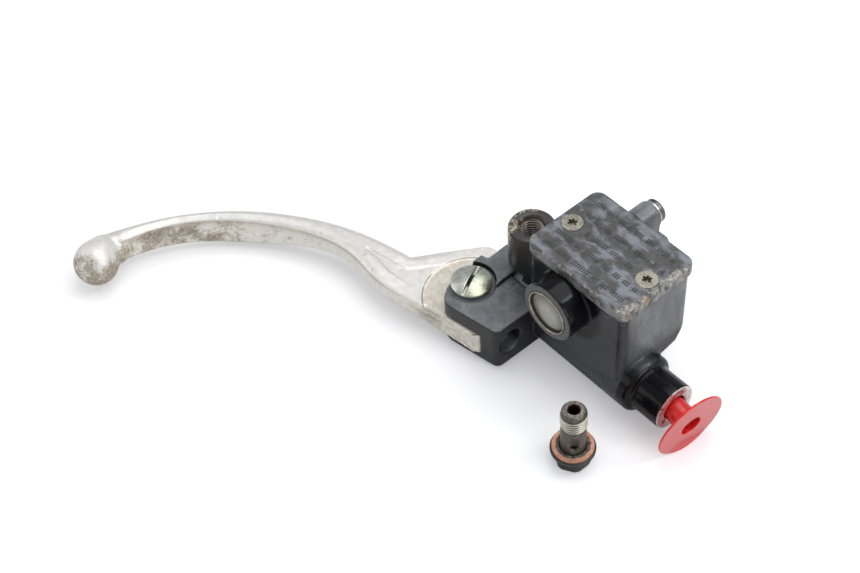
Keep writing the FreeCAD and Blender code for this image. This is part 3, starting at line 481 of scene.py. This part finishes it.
def dark_steel():
    """Blackened bolt steel with brown rust and a bare, bright stretch of thread."""
    g = Graph("rusty_dark_steel")
    cloud = g.noise(1.6, 8, 0.72, warp=0.7)
    browns = ((0.30, (0.050, 0.047, 0.044)), (0.52, (0.11, 0.10, 0.088)), (0.72, (0.21, 0.18, 0.145)))
    colour = g.ramp(cloud, *browns)
    top = BOLT_HIGH.z / MM
    out = g.distance_in_plan(BOLT)
    band = g.times(g.between(g.z, top - 8.4, top - 7.6), g.between(g.z, top - 1.5, top - 1.9))
    crest = g.times(band, g.between(out, 4.52, 4.74))
    crest = g.times(crest, g.between(g.noise(1.6, 6, 0.7, (1, 1, 0.3)), 0.26, 0.40))
    colour = g.mix(crest, colour, (0.78, 0.77, 0.64))
    rusty = g.between(g.noise(1.0, 9, 0.8, offset=(2, 2, 8)), 0.60, 0.68)
    colour = g.mix(g.times(rusty, 0.6), colour, (0.22, 0.085, 0.030))
    rim = g.times(g.between(g.z, top - 1.1, top - 0.4), g.between(g.noise(0.9, 7, 0.75), 0.44, 0.60))
    colour = g.mix(g.times(rim, 0.6), colour, (0.42, 0.39, 0.34))
    head = g.between(g.z, TABLE_Z / MM + 8.2, TABLE_Z / MM + 7.2)
    colour = g.mix(g.times(head, 0.92), colour, (0.009, 0.0088, 0.0085))
    inside = g.between(out, 2.6, 2.2)
    colour = g.mix(inside, colour, (0.025, 0.010, 0.006))
    g.bump(g.noise(0.5, 7, 0.75), 0.08)
    rough = g.mix(crest, g.ramp(cloud, (0.3, 0.26), (0.7, 0.52)), 0.22)
    metal = g.mix(g.most(head, inside), 0.7, 0.10)
    return g.finish(colour, rough, metal)


def copper():
    """A crushed copper washer: clean round its rim, black grease and pale flecks toward the bolt."""
    g = Graph("crushed_copper")
    cloud = g.noise(1.4, 8, 0.7, warp=0.6)
    coppers = ((0.30, (0.50, 0.24, 0.16)), (0.48, (0.74, 0.38, 0.27)), (0.7, (0.86, 0.52, 0.40)))
    colour = g.ramp(cloud, *coppers)
    out = g.times(g.distance_in_plan(BOLT), 0.1)
    ragged = g.plus(out, g.times(g.noise(1.5, 8, 0.72), 0.22))
    grease = g.between(ragged, 0.76, 0.70)
    colour = g.mix(grease, colour, g.ramp(cloud, (0.4, (0.035, 0.030, 0.024)), (0.6, (0.13, 0.12, 0.095))))
    fleck = g.times(grease, g.between(g.noise(0.7, 5, 0.7, offset=(1, 1, 1)), 0.62, 0.66))
    colour = g.mix(fleck, colour, (0.70, 0.72, 0.70))
    g.bump(g.noise(0.6, 7, 0.7), 0.10)
    rough = g.mix(grease, g.ramp(cloud, (0.3, 0.55), (0.7, 0.35)), 0.45)
    return g.finish(colour, rough, g.minus(0.85, g.times(grease, 0.7)))


def red_plug():
    """Soft glossy red plastic, its flange's outer face paled toward pink as painted glare."""
    g = Graph("soft_red_plastic")
    cloud = g.noise(4.0, 6, 0.6, warp=0.8)
    colour = g.ramp(cloud, (0.3, (0.62, 0.006, 0.007)), (0.7, (0.80, 0.020, 0.018)))
    # painted glare: the flange's outer face paled toward pink in streaks, as a reflection of bright surroundings
    along = g.between(g.x, OUTLET_X / MM + 5.0, OUTLET_X / MM + 7.0)
    outer = g.between(g.facing("X"), 0.6, 0.9)
    streak = g.noise(3.0, 6, 0.6, (0.5, 0.35, 1.5), warp=0.6)
    flange_glare = g.times(along, outer, g.ramp(streak, (0.3, 0.30), (0.7, 0.55)))
    colour = g.mix(flange_glare, colour, (0.56, 0.25, 0.26))
    g.bump(g.noise(2.0, 4, 0.5), 0.06)
    rough = g.mix(flange_glare, g.ramp(cloud, (0.3, 0.24), (0.7, 0.34)), 0.36)
    return g.finish(colour, rough, 0.0, Subsurface_Weight=0.12, Subsurface_Radius=(0.003, 0.0006, 0.0006),
                    Subsurface_Scale=0.4, Coat_Weight=0.2)


def window():
    """The sight glass: a milky grey-green dome with painted shade darkening it toward its rim, more on the side
    toward -X, and fine speckles.
    """
    g = Graph("milky_sight_glass")
    cloud = g.noise(4.0, 6, 0.6, warp=0.5)
    colour = g.ramp(cloud, (0.3, (0.34, 0.34, 0.295)), (0.7, (0.42, 0.42, 0.375)))
    # painted shade: the dome darkened toward its rim, more on the side toward -X
    from_middle = g.distance(SIGHT)
    lopsided = g.plus(g.times(from_middle, 0.1), g.times(cloud, 0.14))
    left = g.between(g.x, SIGHT.x / MM + 3.0, SIGHT.x / MM - 6.0)
    rim = g.between(g.plus(lopsided, g.times(left, 0.18)), 0.42, 0.88)
    colour = g.mix(g.times(rim, 0.9), colour, (0.13, 0.115, 0.085))
    specks = g.between(g.noise(0.5, 6, 0.8), 0.68, 0.73)
    colour = g.mix(g.times(specks, 0.4), colour, (0.55, 0.54, 0.50))
    g.bump(g.noise(1.0, 4, 0.5), 0.02)
    return g.finish(colour, g.ramp(cloud, (0.3, 0.16), (0.7, 0.28)), 0.0, Transmission_Weight=0.15, IOR=1.47,
                    Coat_Weight=0.3)


def sight_ring_metal():
    """A thin bright lip round the window, made dark where the ring sinks back behind the lip."""
    g = Graph("sight_ring_metal")
    cloud = g.noise(1.2, 8, 0.72)
    colour = g.ramp(cloud, (0.35, (0.22, 0.19, 0.15)), (0.62, (0.66, 0.62, 0.53)))
    sunk = g.between(g.y, SIGHT_FRONT / MM + 0.15, SIGHT_FRONT / MM + 0.55)
    colour = g.mix(sunk, colour, (0.050, 0.042, 0.034))
    g.bump(cloud, 0.05)
    return g.finish(colour, g.ramp(cloud, (0.3, 0.5), (0.7, 0.3)), g.minus(0.9, g.times(sunk, 0.6)))


def rubber():
    g = Graph("black_moulded_rubber")
    cloud = g.noise(2.0, 6, 0.6)
    colour = g.ramp(cloud, (0.3, 0.012), (0.7, (0.030, 0.030, 0.031)))
    g.bump(g.noise(0.3, 5, 0.6), 0.05)
    return g.finish(colour, g.ramp(cloud, (0.3, 0.5), (0.7, 0.72)), 0.0, Sheen_Weight=0.2)


def plain_metal(name, dark, pale, rough=(0.25, 0.45), metallic=1.0, stretch=(1, 1, 1)):
    """Turned or drawn metal with a brushed grain."""
    g = Graph(name)
    grain = g.noise(0.8, 8, 0.72, stretch)
    colour = g.ramp(g.noise(2.6, 7, 0.65), (0.3, dark), (0.7, pale))
    g.bump(grain, 0.03)
    return g.finish(colour, g.ramp(grain, (0.3, rough[0]), (0.7, rough[1])), metallic)


def rusty_thread():
    """The mirror thread: worn crests over brown rust."""
    g = Graph("rusty_mirror_thread")
    out = g.distance_in_plan(MIRROR)
    crest = g.between(out, MIRROR_R / MM, MIRROR_R / MM - 0.25)
    rust = g.mix(g.noise(1.0, 8, 0.75), (0.045, 0.020, 0.014), (0.20, 0.085, 0.045))
    colour = g.mix(crest, rust, (0.46, 0.43, 0.40))
    g.bump(g.noise(0.4, 6, 0.7), 0.05)
    return g.finish(colour, g.mix(crest, 0.7, 0.28), g.times(crest, 0.9))


def plastic(name, dark, pale):
    g = Graph(name)
    cloud = g.noise(2.5, 6, 0.6)
    g.bump(g.noise(0.5, 5, 0.6), 0.03)
    return g.finish(g.ramp(cloud, (0.3, dark), (0.7, pale)), g.ramp(cloud, (0.3, 0.38), (0.7, 0.55)))


def table_top():
    """White table; the camera sees it a little brighter than it lights the object."""
    g = Graph("white_table")
    marks = g.between(g.noise(14.0, 9, 0.8, (1, 0.35, 1), warp=1.2), 0.66, 0.74)
    colour = g.mix(g.times(marks, 0.08), (0.86, 0.86, 0.865), (0.62, 0.60, 0.58))
    g.bump(g.noise(6.0, 5, 0.6), 0.04)
    seen = g.node("LightPath").outputs["Is Camera Ray"]
    g.shader.inputs["Emission Color"].default_value = (0.97, 0.97, 1.0, 1)
    rough = g.ramp(g.noise(20.0), (0.3, 0.45), (0.7, 0.6))
    return g.finish(colour, rough, Emission_Strength=g.times(seen, 0.28))


# ---------------------------------------------------------------- mesh helpers
def placed(name, data):
    """A new object in the scene, from a mesh, a lamp or a camera."""
    thing = bpy.data.objects.new(name, data)
    bpy.context.scene.collection.objects.link(thing)
    return thing


def as_mesh(bm, name):
    mesh = bpy.data.meshes.new(name)
    bm.to_mesh(mesh)
    bm.free()
    return mesh


def add_object(name, mesh, material, body, node=None):
    """Puts a finished mesh, in the row frame, on its body; node is the CAD node that it stands for."""
    piece = placed(name, mesh)
    mesh.materials.clear()
    mesh.materials.append(material)
    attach(piece, body)
    if node:
        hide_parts(node)
    return piece


def modified(mesh, *modifiers, weights=None):
    """The mesh after (type, settings) modifiers; weights limit those that name the group "amount"."""
    piece = placed("working_copy", mesh)
    if weights:
        group = piece.vertex_groups.new(name="amount")
        for index, weight in weights.items():
            group.add([index], weight, "REPLACE")
    for kind, settings in modifiers:
        modifier = piece.modifiers.new(kind, kind)
        for key, value in settings.items():
            setattr(modifier, key, value)
    bpy.context.view_layer.update()
    result = bpy.data.meshes.new_from_object(piece.evaluated_get(bpy.context.evaluated_depsgraph_get()))
    bpy.data.objects.remove(piece)
    return result


def remesh(voxel):
    return "REMESH", {"mode": "VOXEL", "voxel_size": voxel * MM}


def ease(passes, factor=0.5, **others):
    return "SMOOTH", {"factor": factor, "iterations": passes, **others}


def cast_copy(node, voxel, passes):
    """A fine, even mesh of a CAD node with every edge and corner eased, as a casting's are."""
    mesh = modified(NODES[node].data.copy(), remesh(voxel), ease(passes))
    mesh.shade_smooth()
    return mesh


def refined(name, node, material, body, voxel, passes):
    return add_object(name, cast_copy(node, voxel, passes), material, body, node)


def dress(node, material, bevel=0.0):
    """A CAD node that keeps its own shape, with a finished material and eased edges."""
    piece = NODES[node]
    piece.data.materials.clear()
    piece.data.materials.append(material)
    if bevel:
        rounding = piece.modifiers.new("eased_edges", "BEVEL")
        rounding.width = bevel * MM
        rounding.segments = 2
        rounding.limit_method = "ANGLE"
        rounding.angle_limit = math.radians(35)
    return piece


def upright(place):
    return Matrix.Translation(place)


def along_y(place):
    """Turns a lathe part so that its own +Z points to the front, -Y."""
    return Matrix.Translation(place) @ Matrix.Rotation(math.radians(90), 4, "X")


def along_back(place):
    """Turns a lathe part so that its own +Z points to the back, +Y."""
    return Matrix.Translation(place) @ Matrix.Rotation(math.radians(-90), 4, "X")


def bridge(bm, ring_a, ring_b):
    """Four-sided faces between two closed rings of the same number of points."""
    for i in range(len(ring_a)):
        j = (i + 1) % len(ring_a)
        bm.faces.new((ring_a[i], ring_a[j], ring_b[j], ring_b[i]))


def turned(stations, segments, place, closed=True):
    """A part turned about its own Z. Stations are (height, radius) in millimetres, and the radius may be a
    function of angle. A closed profile is a ring; an open one is capped by a point at each end."""
    bm = bmesh.new()
    rings = []
    for height, radius in stations:
        ring = []
        for i in range(segments):
            angle = 2 * math.pi * i / segments
            r = radius(angle) if callable(radius) else radius
            spot = Vector((r * math.cos(angle), r * math.sin(angle), height)) * MM
            ring.append(bm.verts.new(place @ spot))
        rings.append(ring)
    pairs = list(zip(rings, rings[1:]))
    if closed:
        pairs.append((rings[-1], rings[0]))
    for ring_a, ring_b in pairs:
        bridge(bm, ring_a, ring_b)
    if not closed:
        for ring, height in ((rings[0], stations[0][0]), (rings[-1], stations[-1][0])):
            tip = bm.verts.new(place @ Vector((0, 0, height * MM)))
            for i in range(segments):
                bm.faces.new((ring[i], ring[(i + 1) % segments], tip))
    bmesh.ops.recalc_face_normals(bm, faces=bm.faces)
    mesh = as_mesh(bm, "turned")
    mesh.shade_smooth()
    mesh.set_sharp_from_angle(angle=math.radians(40))
    return mesh


def tooth(phase):
    """A thread's cross-section: 0 at the root, 1 at the crest, as phase runs from 0 to 1."""
    rise = 1 - abs(2 * (phase % 1.0) - 1)
    return max(0.0, min(1.0, rise * 1.25 - 0.12))


def thread_radius(height, pitch, root, depth):
    """Radius of a right-hand thread at one height, as a function of angle; a negative depth cuts inward."""
    return lambda angle: root + depth * tooth(height / pitch - angle / (2 * math.pi))


# ---------------------------------------------------------------- the lever's rails
def rail_tree(mesh, outward):
    """The upright faces of the lever's grip that face outward, as a tree for nearest-point questions."""
    faces = []
    for face in mesh.polygons:
        beyond_ball = (face.center - BALL).length > BALL_R + 0.4 * MM
        if abs(face.normal.z) < 0.25 and face.normal.dot(outward) > 0.30 and beyond_ball:
            faces.append(tuple(face.vertices))
    return BVHTree.FromPolygons([v.co.copy() for v in mesh.vertices], faces)


def smooth_step(value, start, end):
    t = max(0.0, min(1.0, (value - start) / (end - start)))
    return t * t * (3 - 2 * t)


def round_corner(across, down, radius):
    """Takes a point near a square edge to where a round edge would put it; distances from both faces."""
    p = Vector((radius - across, radius - down))
    if across >= radius or down >= radius or p.length < 1e-9:
        return across, down
    scale = max(p.x, p.y) / p.length
    return radius - p.x * scale, radius - p.y * scale


def shape_lever(mesh):
    """Rounds the rails' edges, crowns the top, hollows the grip face and hangs it lower toward the ball."""
    outward = {"far": Vector((-0.5, 0.85, 0)).normalized(), "near": Vector((0.5, -0.85, 0)).normalized()}
    trees = {side: rail_tree(mesh, direction) for side, direction in outward.items()}
    faces = [tuple(f.vertices) for f in mesh.polygons]
    solid = BVHTree.FromPolygons([v.co.copy() for v in mesh.vertices], faces)
    moved = {}
    for v in mesh.vertices:
        point = v.co.copy()
        off_ball = smooth_step((point - BALL).length, BALL_R - 0.6 * MM, BALL_R + 1.6 * MM)
        grip = smooth_step(-point.x / MM, 44.0, 72.0) * off_ball
        if point.z > LEVER_TOP + 0.5 * MM or off_ball <= 0:
            continue
        found = {side: tree.find_nearest(point, 6 * MM) for side, tree in trees.items()}
        found = {side: hit for side, hit in found.items() if hit[0] is not None}
        if not found:
            continue
        closest = min(found, key=lambda side: found[side][3])
        inner = point - outward[closest] * 1.2 * MM
        floor = solid.ray_cast(Vector((inner.x, inner.y, LEVER_TOP - 2.5 * MM)), Vector((0, 0, -1)))[0]
        if floor is None:
            continue
        height = LEVER_TOP - floor.z
        down, up = max(LEVER_TOP - point.z, 0.0), max(point.z - floor.z, 0.0)
        shift = Vector()
        far_r = 2.0 * MM * grip
        for side, top_r, low_r in (("far", far_r, far_r), ("near", 1.1 * MM, 1.2 * MM * grip)):
            if side not in found or found[side][3] > 4.5 * MM:
                continue
            normal, across = found[side][1], found[side][3]
            inward = -Vector((normal.x, normal.y, 0)).normalized()
            depth, radius, sign = (down, top_r, -1) if down < up else (up, low_r, 1)
            new_across, new_depth = round_corner(across, depth, radius)
            shift += inward * (new_across - across) + Vector((0, 0, sign * (new_depth - depth)))
            if side == "near" and across < 0.4 * MM:
                share = max(0.0, min(1.0, (down - 1.2 * MM) / (height - 2.4 * MM)))
                if share > 0:
                    shift += inward * (0.7 * MM * math.sin(math.pi * share) ** 0.6 * grip)
            if side == "far":
                shift -= inward * 0.5 * MM * grip
        across = min(hit[3] for hit in found.values())
        crown = smooth_step(across, 0.0, 3.2 * MM) * max(0.0, 1 - down / (2 * MM))
        shift.z += 0.7 * MM * crown * grip
        shift.z -= 0.9 * MM * smooth_step(-point.x / MM, 75.0, 125.0) * off_ball * down / height
        moved[v.index] = shift
    for index, shift in moved.items():
        mesh.vertices[index].co += shift


def neck_weights(mesh):
    """How strongly to ease each point: fully where the blade runs into the ball, barely elsewhere."""
    weights = {}
    for v in mesh.vertices:
        gap = abs((v.co - BALL).length - BALL_R)
        beside = smooth_step(v.co.y, BALL.y + 0.05 * BALL_R, BALL.y + 0.55 * BALL_R)
        weights[v.index] = smooth_step(gap, 7 * MM, 1 * MM) * beside
    return weights


def lever_mesh():
    """The lever: its neck filled out toward the ball, its tail level with the hub, then shaped and eased."""
    bm = bmesh.new()
    bm.from_mesh(NODES["lever"].data)
    for offset, radius in (((-0.8, 1.8, 0.9), 7.7), ((-1.5, 3.7, 1.7), 6.3), ((-3.5, 5.7, 1.7), 4.8)):
        place = Matrix.Translation(BALL + Vector(offset) * MM)
        bmesh.ops.create_icosphere(bm, subdivisions=4, radius=radius * MM, matrix=place)
    mesh = modified(as_mesh(bm, "filled_lever"), remesh(0.42), ease(2))
    for v in mesh.vertices:
        if v.co.x > PIVOT.x + 8 * MM and v.co.z > LEVER_TOP - 0.3 * MM:
            v.co.z = LEVER_TOP - 0.3 * MM
    shape_lever(mesh)
    mesh = modified(mesh, ease(3))
    mesh = modified(mesh, ease(70, vertex_group="amount"), weights=neck_weights(mesh))
    mesh.shade_smooth()
    return mesh


# ---------------------------------------------------------------- pieces made in mesh code
def casting_mesh():
    """The casting, with its mirror hole opened to the outside of the thread that lines it."""
    mesh = cast_copy("cylinder_body", 0.40, 6)
    for v in mesh.vertices:
        out = Vector((v.co.x - MIRROR.x, v.co.y - MIRROR.y))
        in_hole = MIRROR_R - 0.5 * MM < out.length < MIRROR_R + 0.45 * MM
        if in_hole and MIRROR.z - 6.0 * MM < v.co.z < MIRROR_TOP - 1.2 * MM:
            out.length = MIRROR_R + 0.35 * MM
            v.co.x = MIRROR.x + out.x
            v.co.y = MIRROR.y + out.y
    return mesh


def transport_plug_mesh():
    """The soft plug, the lower edge of its flange bent forward where it rests on the table."""
    mesh = cast_copy("outlet_plug", 0.22, 2)
    bend_starts = TABLE_Z + 2.5 * MM
    reach = bend_starts - corners("outlet_plug")[0].z
    lift_at_edge = reach - 2.4 * MM
    for v in mesh.vertices:
        depth = bend_starts - v.co.z
        if depth > 0:
            v.co += Vector((0.68, -0.52, 1.0)) * lift_at_edge * (depth / reach) ** 2
    return mesh


def mirror_thread_mesh():
    """A sleeve with a 1.25 mm pitch thread cut inside it."""
    pitch = 1.25
    low = (MIRROR.z - 6.4 * MM) / MM
    high = (MIRROR_TOP - 1.3 * MM) / MM
    inner = MIRROR_R / MM - 0.35
    steps = int((high - low) / 0.125)
    stations = []
    for i in range(steps + 1):
        height = low + (high - low) * i / steps
        stations.append((height, thread_radius(height - low, pitch, inner + 0.68, -0.68)))
    stations += [(high, inner + 1.0), (low, inner + 1.0)]
    return turned(stations, 96, upright((MIRROR.x, MIRROR.y, 0)))


def hexagon_radius(flat, limit):
    """Radius of a hexagon as a function of angle, its corners turned down to limit."""
    def radius(angle):
        within = (angle + math.pi / 6) % (math.pi / 3) - math.pi / 6
        return min(flat / 2 / math.cos(within), limit)
    return radius


def banjo_bolt_mesh():
    """Hexagon, collar, waist, threaded end and chamfered tip round an axial hole, then the cross hole."""
    base = BOLT_LOW.z / MM
    end = BOLT_HIGH.z / MM
    washer = corners("banjo_washer")[0].z / MM
    flats = 12.0
    corner = hexagon_radius(flats, 6.95)
    stations = [(base, hexagon_radius(flats, 5.6)), (base + 0.6, hexagon_radius(flats, 6.4))]
    stations += [(base + 2.2, corner), (base + 5.4, corner), (base + 5.9, 7.3), (base + 6.2, 7.9)]
    stations += [(base + 6.5, 8.15), (washer - 0.3, 8.2), (washer - 0.05, 8.0), (washer, 7.7), (washer, 5.2)]
    stations += [(washer + 0.4, 4.62), (end - 9.2, 4.55), (end - 8.6, 4.45)]
    pitch, thread_low, steps = 1.25, end - 8.4, 64
    for i in range(steps + 1):
        height = thread_low + i * 0.1
        fade = smooth_step(i, 0, 6) * smooth_step(steps - i, 0, 6)
        stations.append((height, thread_radius(height, pitch, 4.25, 0.60 * fade)))
    stations += [(end - 1.9, 4.50), (end - 1.1, 4.45), (end - 0.35, 3.95), (end - 0.06, 3.75), (end, 3.5)]
    stations += [(end, 2.35), (end - 0.25, 2.1), (base + 7.6, 2.1), (base + 7.0, 2.0)]
    mesh = turned(stations, 96, upright((BOLT.x, BOLT.y, 0)), closed=False)
    across = upright((BOLT.x, BOLT.y, (washer + 5.0) * MM)) @ Matrix.Rotation(math.radians(52), 4, "Z")
    drill = turned([(-12.0, 1.6), (12.0, 1.6)], 40, across @ along_y((0, 0, 0)), closed=False)
    cutter = placed("cutter", drill)
    result = modified(mesh, ("BOOLEAN", {"object": cutter, "solver": "EXACT", "operation": "DIFFERENCE"}))
    bpy.data.objects.remove(cutter)
    return result


def joined(*meshes):
    bm = bmesh.new()
    for mesh in meshes:
        bm.from_mesh(mesh)
    return as_mesh(bm, "joined")


def clamp_bolts_mesh():
    """Two socket screws with rounded heads, their heads to the back."""
    low, high = corners("clamp_bolts")
    tip, seat, end = low.y / MM, corners("clamp_washers")[1].y / MM, high.y / MM
    stations = [(tip, 0.5), (tip, 2.4), (tip + 0.6, 2.95), (seat + 0.02, 2.95)]
    stations += [(seat + 0.02, 4.35), (seat + 0.3, 4.65), (seat + 1.3, 4.70)]
    steps = 8
    for i in range(1, steps + 1):
        angle = math.pi / 2 * i / steps
        height = seat + 1.3 + (end - seat - 1.3) * math.sin(angle)
        stations.append((height, 2.55 + 2.15 * math.cos(angle)))
    socket = hexagon_radius(4.0, 2.31)
    stations += [(end - 0.05, socket), (end - 2.0, socket), (end - 2.3, 0.5)]
    head_r = (high.x - low.x) / 2
    middle = (low.x + high.x) / 2
    heights = (high.z - head_r, low.z + head_r)
    return joined(*(turned(stations, 72, along_back((middle, 0, z)), closed=False) for z in heights))


def sight_ring_mesh():
    """A pressed ring: a raised lip, then a slope running in and back to the window."""
    outer = SIGHT_RING_R / MM
    inner = GLASS_R / MM + 0.02
    profile = [(-2.4, inner), (-2.4, outer), (-0.35, outer), (-0.10, outer - 0.08), (0.0, outer - 0.22)]
    profile += [(-0.02, outer - 0.36), (-0.20, outer - 0.48), (-0.60, outer - 0.58)]
    profile += [(-0.95, inner + 0.04), (-1.10, inner)]
    return turned(profile, 96, along_y((SIGHT.x, SIGHT_FRONT, SIGHT.z)))


def sight_glass_mesh():
    """The window: a shallow dome standing in the ring, on a wider foot behind it."""
    front = SIGHT_FRONT + 0.15 * MM
    back = corners("sight_glass")[1].y
    depth = (back - front) / MM
    foot = (corners("sight_glass")[1].x - corners("sight_glass")[0].x) / 2 / MM
    radius = GLASS_R / MM - 0.05
    stations = [(-depth, 0.5), (-depth, foot), (-2.6, foot), (-2.6, radius), (-1.3, radius)]
    steps = 16
    for i in range(1, steps):
        angle = math.pi / 2 * i / steps
        stations.append((-1.3 + 1.2 * math.sin(angle), 0.6 + (radius - 0.6) * math.cos(angle)))
    stations.append((-0.08, 0.3))
    return turned(stations, 96, along_y((SIGHT.x, front, SIGHT.z)), closed=False)


def return_spring_mesh():
    """Round wire wound between the spring seat and the end of the bore, with closed end coils."""
    low, high = corners("return_spring")
    wire = 0.5
    coil = (high.z - low.z) / 2 / MM - wire
    length = (high.x - low.x) / MM - 2 * wire
    turns, sides = 6, 12
    steps = 40 * turns
    bm = bmesh.new()
    rings = []
    for i in range(steps + 1):
        part = i / steps
        angle = 2 * math.pi * turns * part
        height = length * (0.5 - 0.5 * math.cos(math.pi * part) + part * 3) / 4
        outward = Vector((0, math.cos(angle), math.sin(angle)))
        centre_line = Vector((low.x / MM + wire + height, BORE.y / MM, BORE.z / MM)) + outward * coil
        ring = []
        for j in range(sides):
            turn = 2 * math.pi * j / sides
            from_centre = outward * math.cos(turn) + Vector((math.sin(turn), 0, 0))
            ring.append(bm.verts.new((centre_line + from_centre * wire) * MM))
        rings.append(ring)
    for ring_a, ring_b in zip(rings, rings[1:]):
        bridge(bm, ring_a, ring_b)
    bm.faces.new(rings[0])
    bm.faces.new(rings[-1])
    bmesh.ops.recalc_face_normals(bm, faces=bm.faces)
    mesh = as_mesh(bm, "return_coil")
    mesh.shade_smooth()
    return mesh


def lid_marks_mesh():
    """Rows of plain raised ribs where the lid's moulded lettering was; they spell nothing."""
    rng = random.Random(7)
    bm = bmesh.new()
    top = LID_HIGH.z
    screw_y = centre("lid_screws").y
    screws = [Vector((LID_LOW.x + 5.6 * MM, screw_y)), Vector((LID_HIGH.x - 6.2 * MM, screw_y))]
    rib = Matrix.Diagonal((0.48 * MM, 2.0 * MM, 0.60 * MM, 1))
    for row in range(5):
        y = LID_LOW.y + (4.8 + 6.35 * row) * MM
        x = LID_LOW.x + (4.5 + rng.uniform(0, 2)) * MM
        run = rng.randint(4, 8)
        while x < LID_HIGH.x - 4.5 * MM:
            clear = all((Vector((x, y)) - screw).length > 6.3 * MM for screw in screws)
            if clear and run > 0:
                bmesh.ops.create_cube(bm, size=1.0, matrix=Matrix.Translation((x, y, top)) @ rib)
            if run == 0:
                run = rng.randint(4, 9)
                x += 0.5 * MM
            run -= 1
            x += 1.0 * MM
    top_edges = [e for e in bm.edges if all(v.co.z > top for v in e.verts)]
    bmesh.ops.bevel(bm, geom=top_edges, offset=0.12 * MM, segments=2, affect="EDGES")
    return as_mesh(bm, "lid_marks")


# ---------------------------------------------------------------- the object
paint = cast_paint()
lid_finish = lid_paint()
black_rubber = rubber()
plain_zinc = zinc("plain_zinc", (0.50, 0.50, 0.48), 0.4)
bright_zinc = zinc("bright_zinc", (0.17, 0.18, 0.175), 0.85, 1.6)
dirty_nickel = zinc("dirty_nickel", (0.36, 0.335, 0.28), 0.85, 0.8)

add_object("casting", casting_mesh(), paint, ROOT, "cylinder_body")
add_object("mirror_thread_turns", mirror_thread_mesh(), rusty_thread(), ROOT)
refined("lid", "reservoir_lid", lid_finish, ROOT, 0.25, 4)
add_object("lid_raised_bars", lid_marks_mesh(), lid_finish, ROOT)
add_object("lever_casting", lever_mesh(), lever_alloy(), "lever", "lever")
refined("clamp_half", "clamp_cap", paint, ROOT, 0.35, 5)
refined("pivot_pin", "pivot_screw", pivot_zinc(), ROOT, 0.16, 3)
refined("fluid_bellows", "diaphragm", black_rubber, ROOT, 0.3, 2)
refined("boot", "dust_boot", black_rubber, ROOT, 0.25, 4)
add_object("transport_plug", transport_plug_mesh(), red_plug(), "plug", "outlet_plug")
add_object("window", sight_glass_mesh(), window(), ROOT, "sight_glass")
add_object("window_ring", sight_ring_mesh(), sight_ring_metal(), ROOT, "sight_ring")
add_object("hollow_bolt", banjo_bolt_mesh(), dark_steel(), "hose_bolt", "banjo_bolt")
add_object("clamp_screws", clamp_bolts_mesh(), bright_zinc, ROOT, "clamp_bolts")
spring_steel = plain_metal("spring_steel", (0.25, 0.25, 0.26), (0.48, 0.48, 0.49))
coil = add_object("coil_spring", return_spring_mesh(), spring_steel, ROOT, "return_spring")

dress("lid_screws", dirty_nickel, 0.12)
dress("sight_seal", black_rubber)
dress("sight_reflector", plastic("white_reflector", (0.70, 0.69, 0.65), (0.82, 0.81, 0.78)))
dress("diaphragm_plate", plastic("plate_plastic", (0.42, 0.41, 0.37), (0.55, 0.54, 0.50)), 0.1)
dress("port_baffle", plain_zinc, 0.1)
dress("piston", plain_metal("anodised_piston", (0.48, 0.44, 0.34), (0.70, 0.66, 0.55)), 0.15)
dress("primary_cup", black_rubber)
dress("secondary_cup", black_rubber)
dress("spring_seat", plain_zinc, 0.1)
dress("piston_washer", plain_zinc, 0.08)
dress("circlip", plain_metal("circlip_steel", (0.16, 0.16, 0.17), (0.34, 0.34, 0.35)), 0.08)
dress("lever_bush", plain_metal("turned_brass", (0.45, 0.32, 0.12), (0.74, 0.58, 0.28)), 0.1)
dress("pivot_washer", plain_metal("dark_washer", (0.03, 0.03, 0.03), (0.08, 0.075, 0.07)), 0.08)
dress("pivot_nut", plain_zinc, 0.2)
dress("clamp_washers", plain_zinc, 0.1)
dress("banjo_washer", copper(), 0.15)

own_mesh(coil)


# ---------------------------------------------------------------- floor, light and camera
def soft_box(name, position, target, size, radiance, colour=(1, 1, 1)):
    """A rectangular lamp that looks equally bright from everywhere in front of it."""
    data = bpy.data.lights.new(name, "AREA")
    data.shape = "RECTANGLE"
    data.size, data.size_y = size
    data.energy = radiance * math.pi * size[0] * size[1]
    data.color = colour
    light = placed(name, data)
    light.location = position
    light.rotation_euler = (Vector(target) - Vector(position)).to_track_quat("-Z", "Y").to_euler()


def build_stage():
    bm = bmesh.new()
    bmesh.ops.create_grid(bm, x_segments=8, y_segments=8, size=3.0)
    floor = placed("floor", as_mesh(bm, "floor"))
    floor.data.materials.append(table_top())
    floor.location = (0, 0, TABLE_Z - 0.1 * MM)

    world = bpy.data.worlds.new("studio")
    world.use_nodes = True
    background = world.node_tree.nodes["Background"]
    background.inputs["Color"].default_value = (0.97, 0.98, 1.0, 1)
    background.inputs["Strength"].default_value = 0.45
    bpy.context.scene.world = world
    target = (-0.03, -0.05, 0)
    soft_box("overhead", (0.05, 0.28, 1.05), target, (1.2, 0.9), 1.95)
    soft_box("window", (0.50, 0.55, 0.80), target, (0.28, 0.22), 7.0, (0.93, 0.97, 1.0))
    soft_box("left", (-0.85, -0.45, 0.60), target, (0.5, 0.7), 1.1)
    soft_box("right", (0.95, 0.05, 0.40), target, (0.6, 0.6), 2.2)
    soft_box("front", (-0.25, -0.95, 0.40), target, (0.7, 0.4), 1.0)


def build_camera():
    """Looks down on the lid from the outlet side, a little over half a metre away."""
    back = Vector((0.515, -0.397, 0.760)).normalized()
    right = Vector((0.654, 0.755, -0.049))
    right = (right - back * right.dot(back)).normalized()
    up = back.cross(right)
    data = bpy.data.cameras.new("camera")
    data.sensor_width = 36.0
    data.lens = 69.2
    camera = placed("camera", data)
    turn = Matrix((right, up, back)).transposed().to_4x4()
    camera.matrix_world = Matrix.Translation((0.2739, -0.3065, 0.4625)) @ turn
    bpy.context.scene.camera = camera


build_stage()
build_camera()
bpy.context.scene.view_settings.view_transform = "Standard"
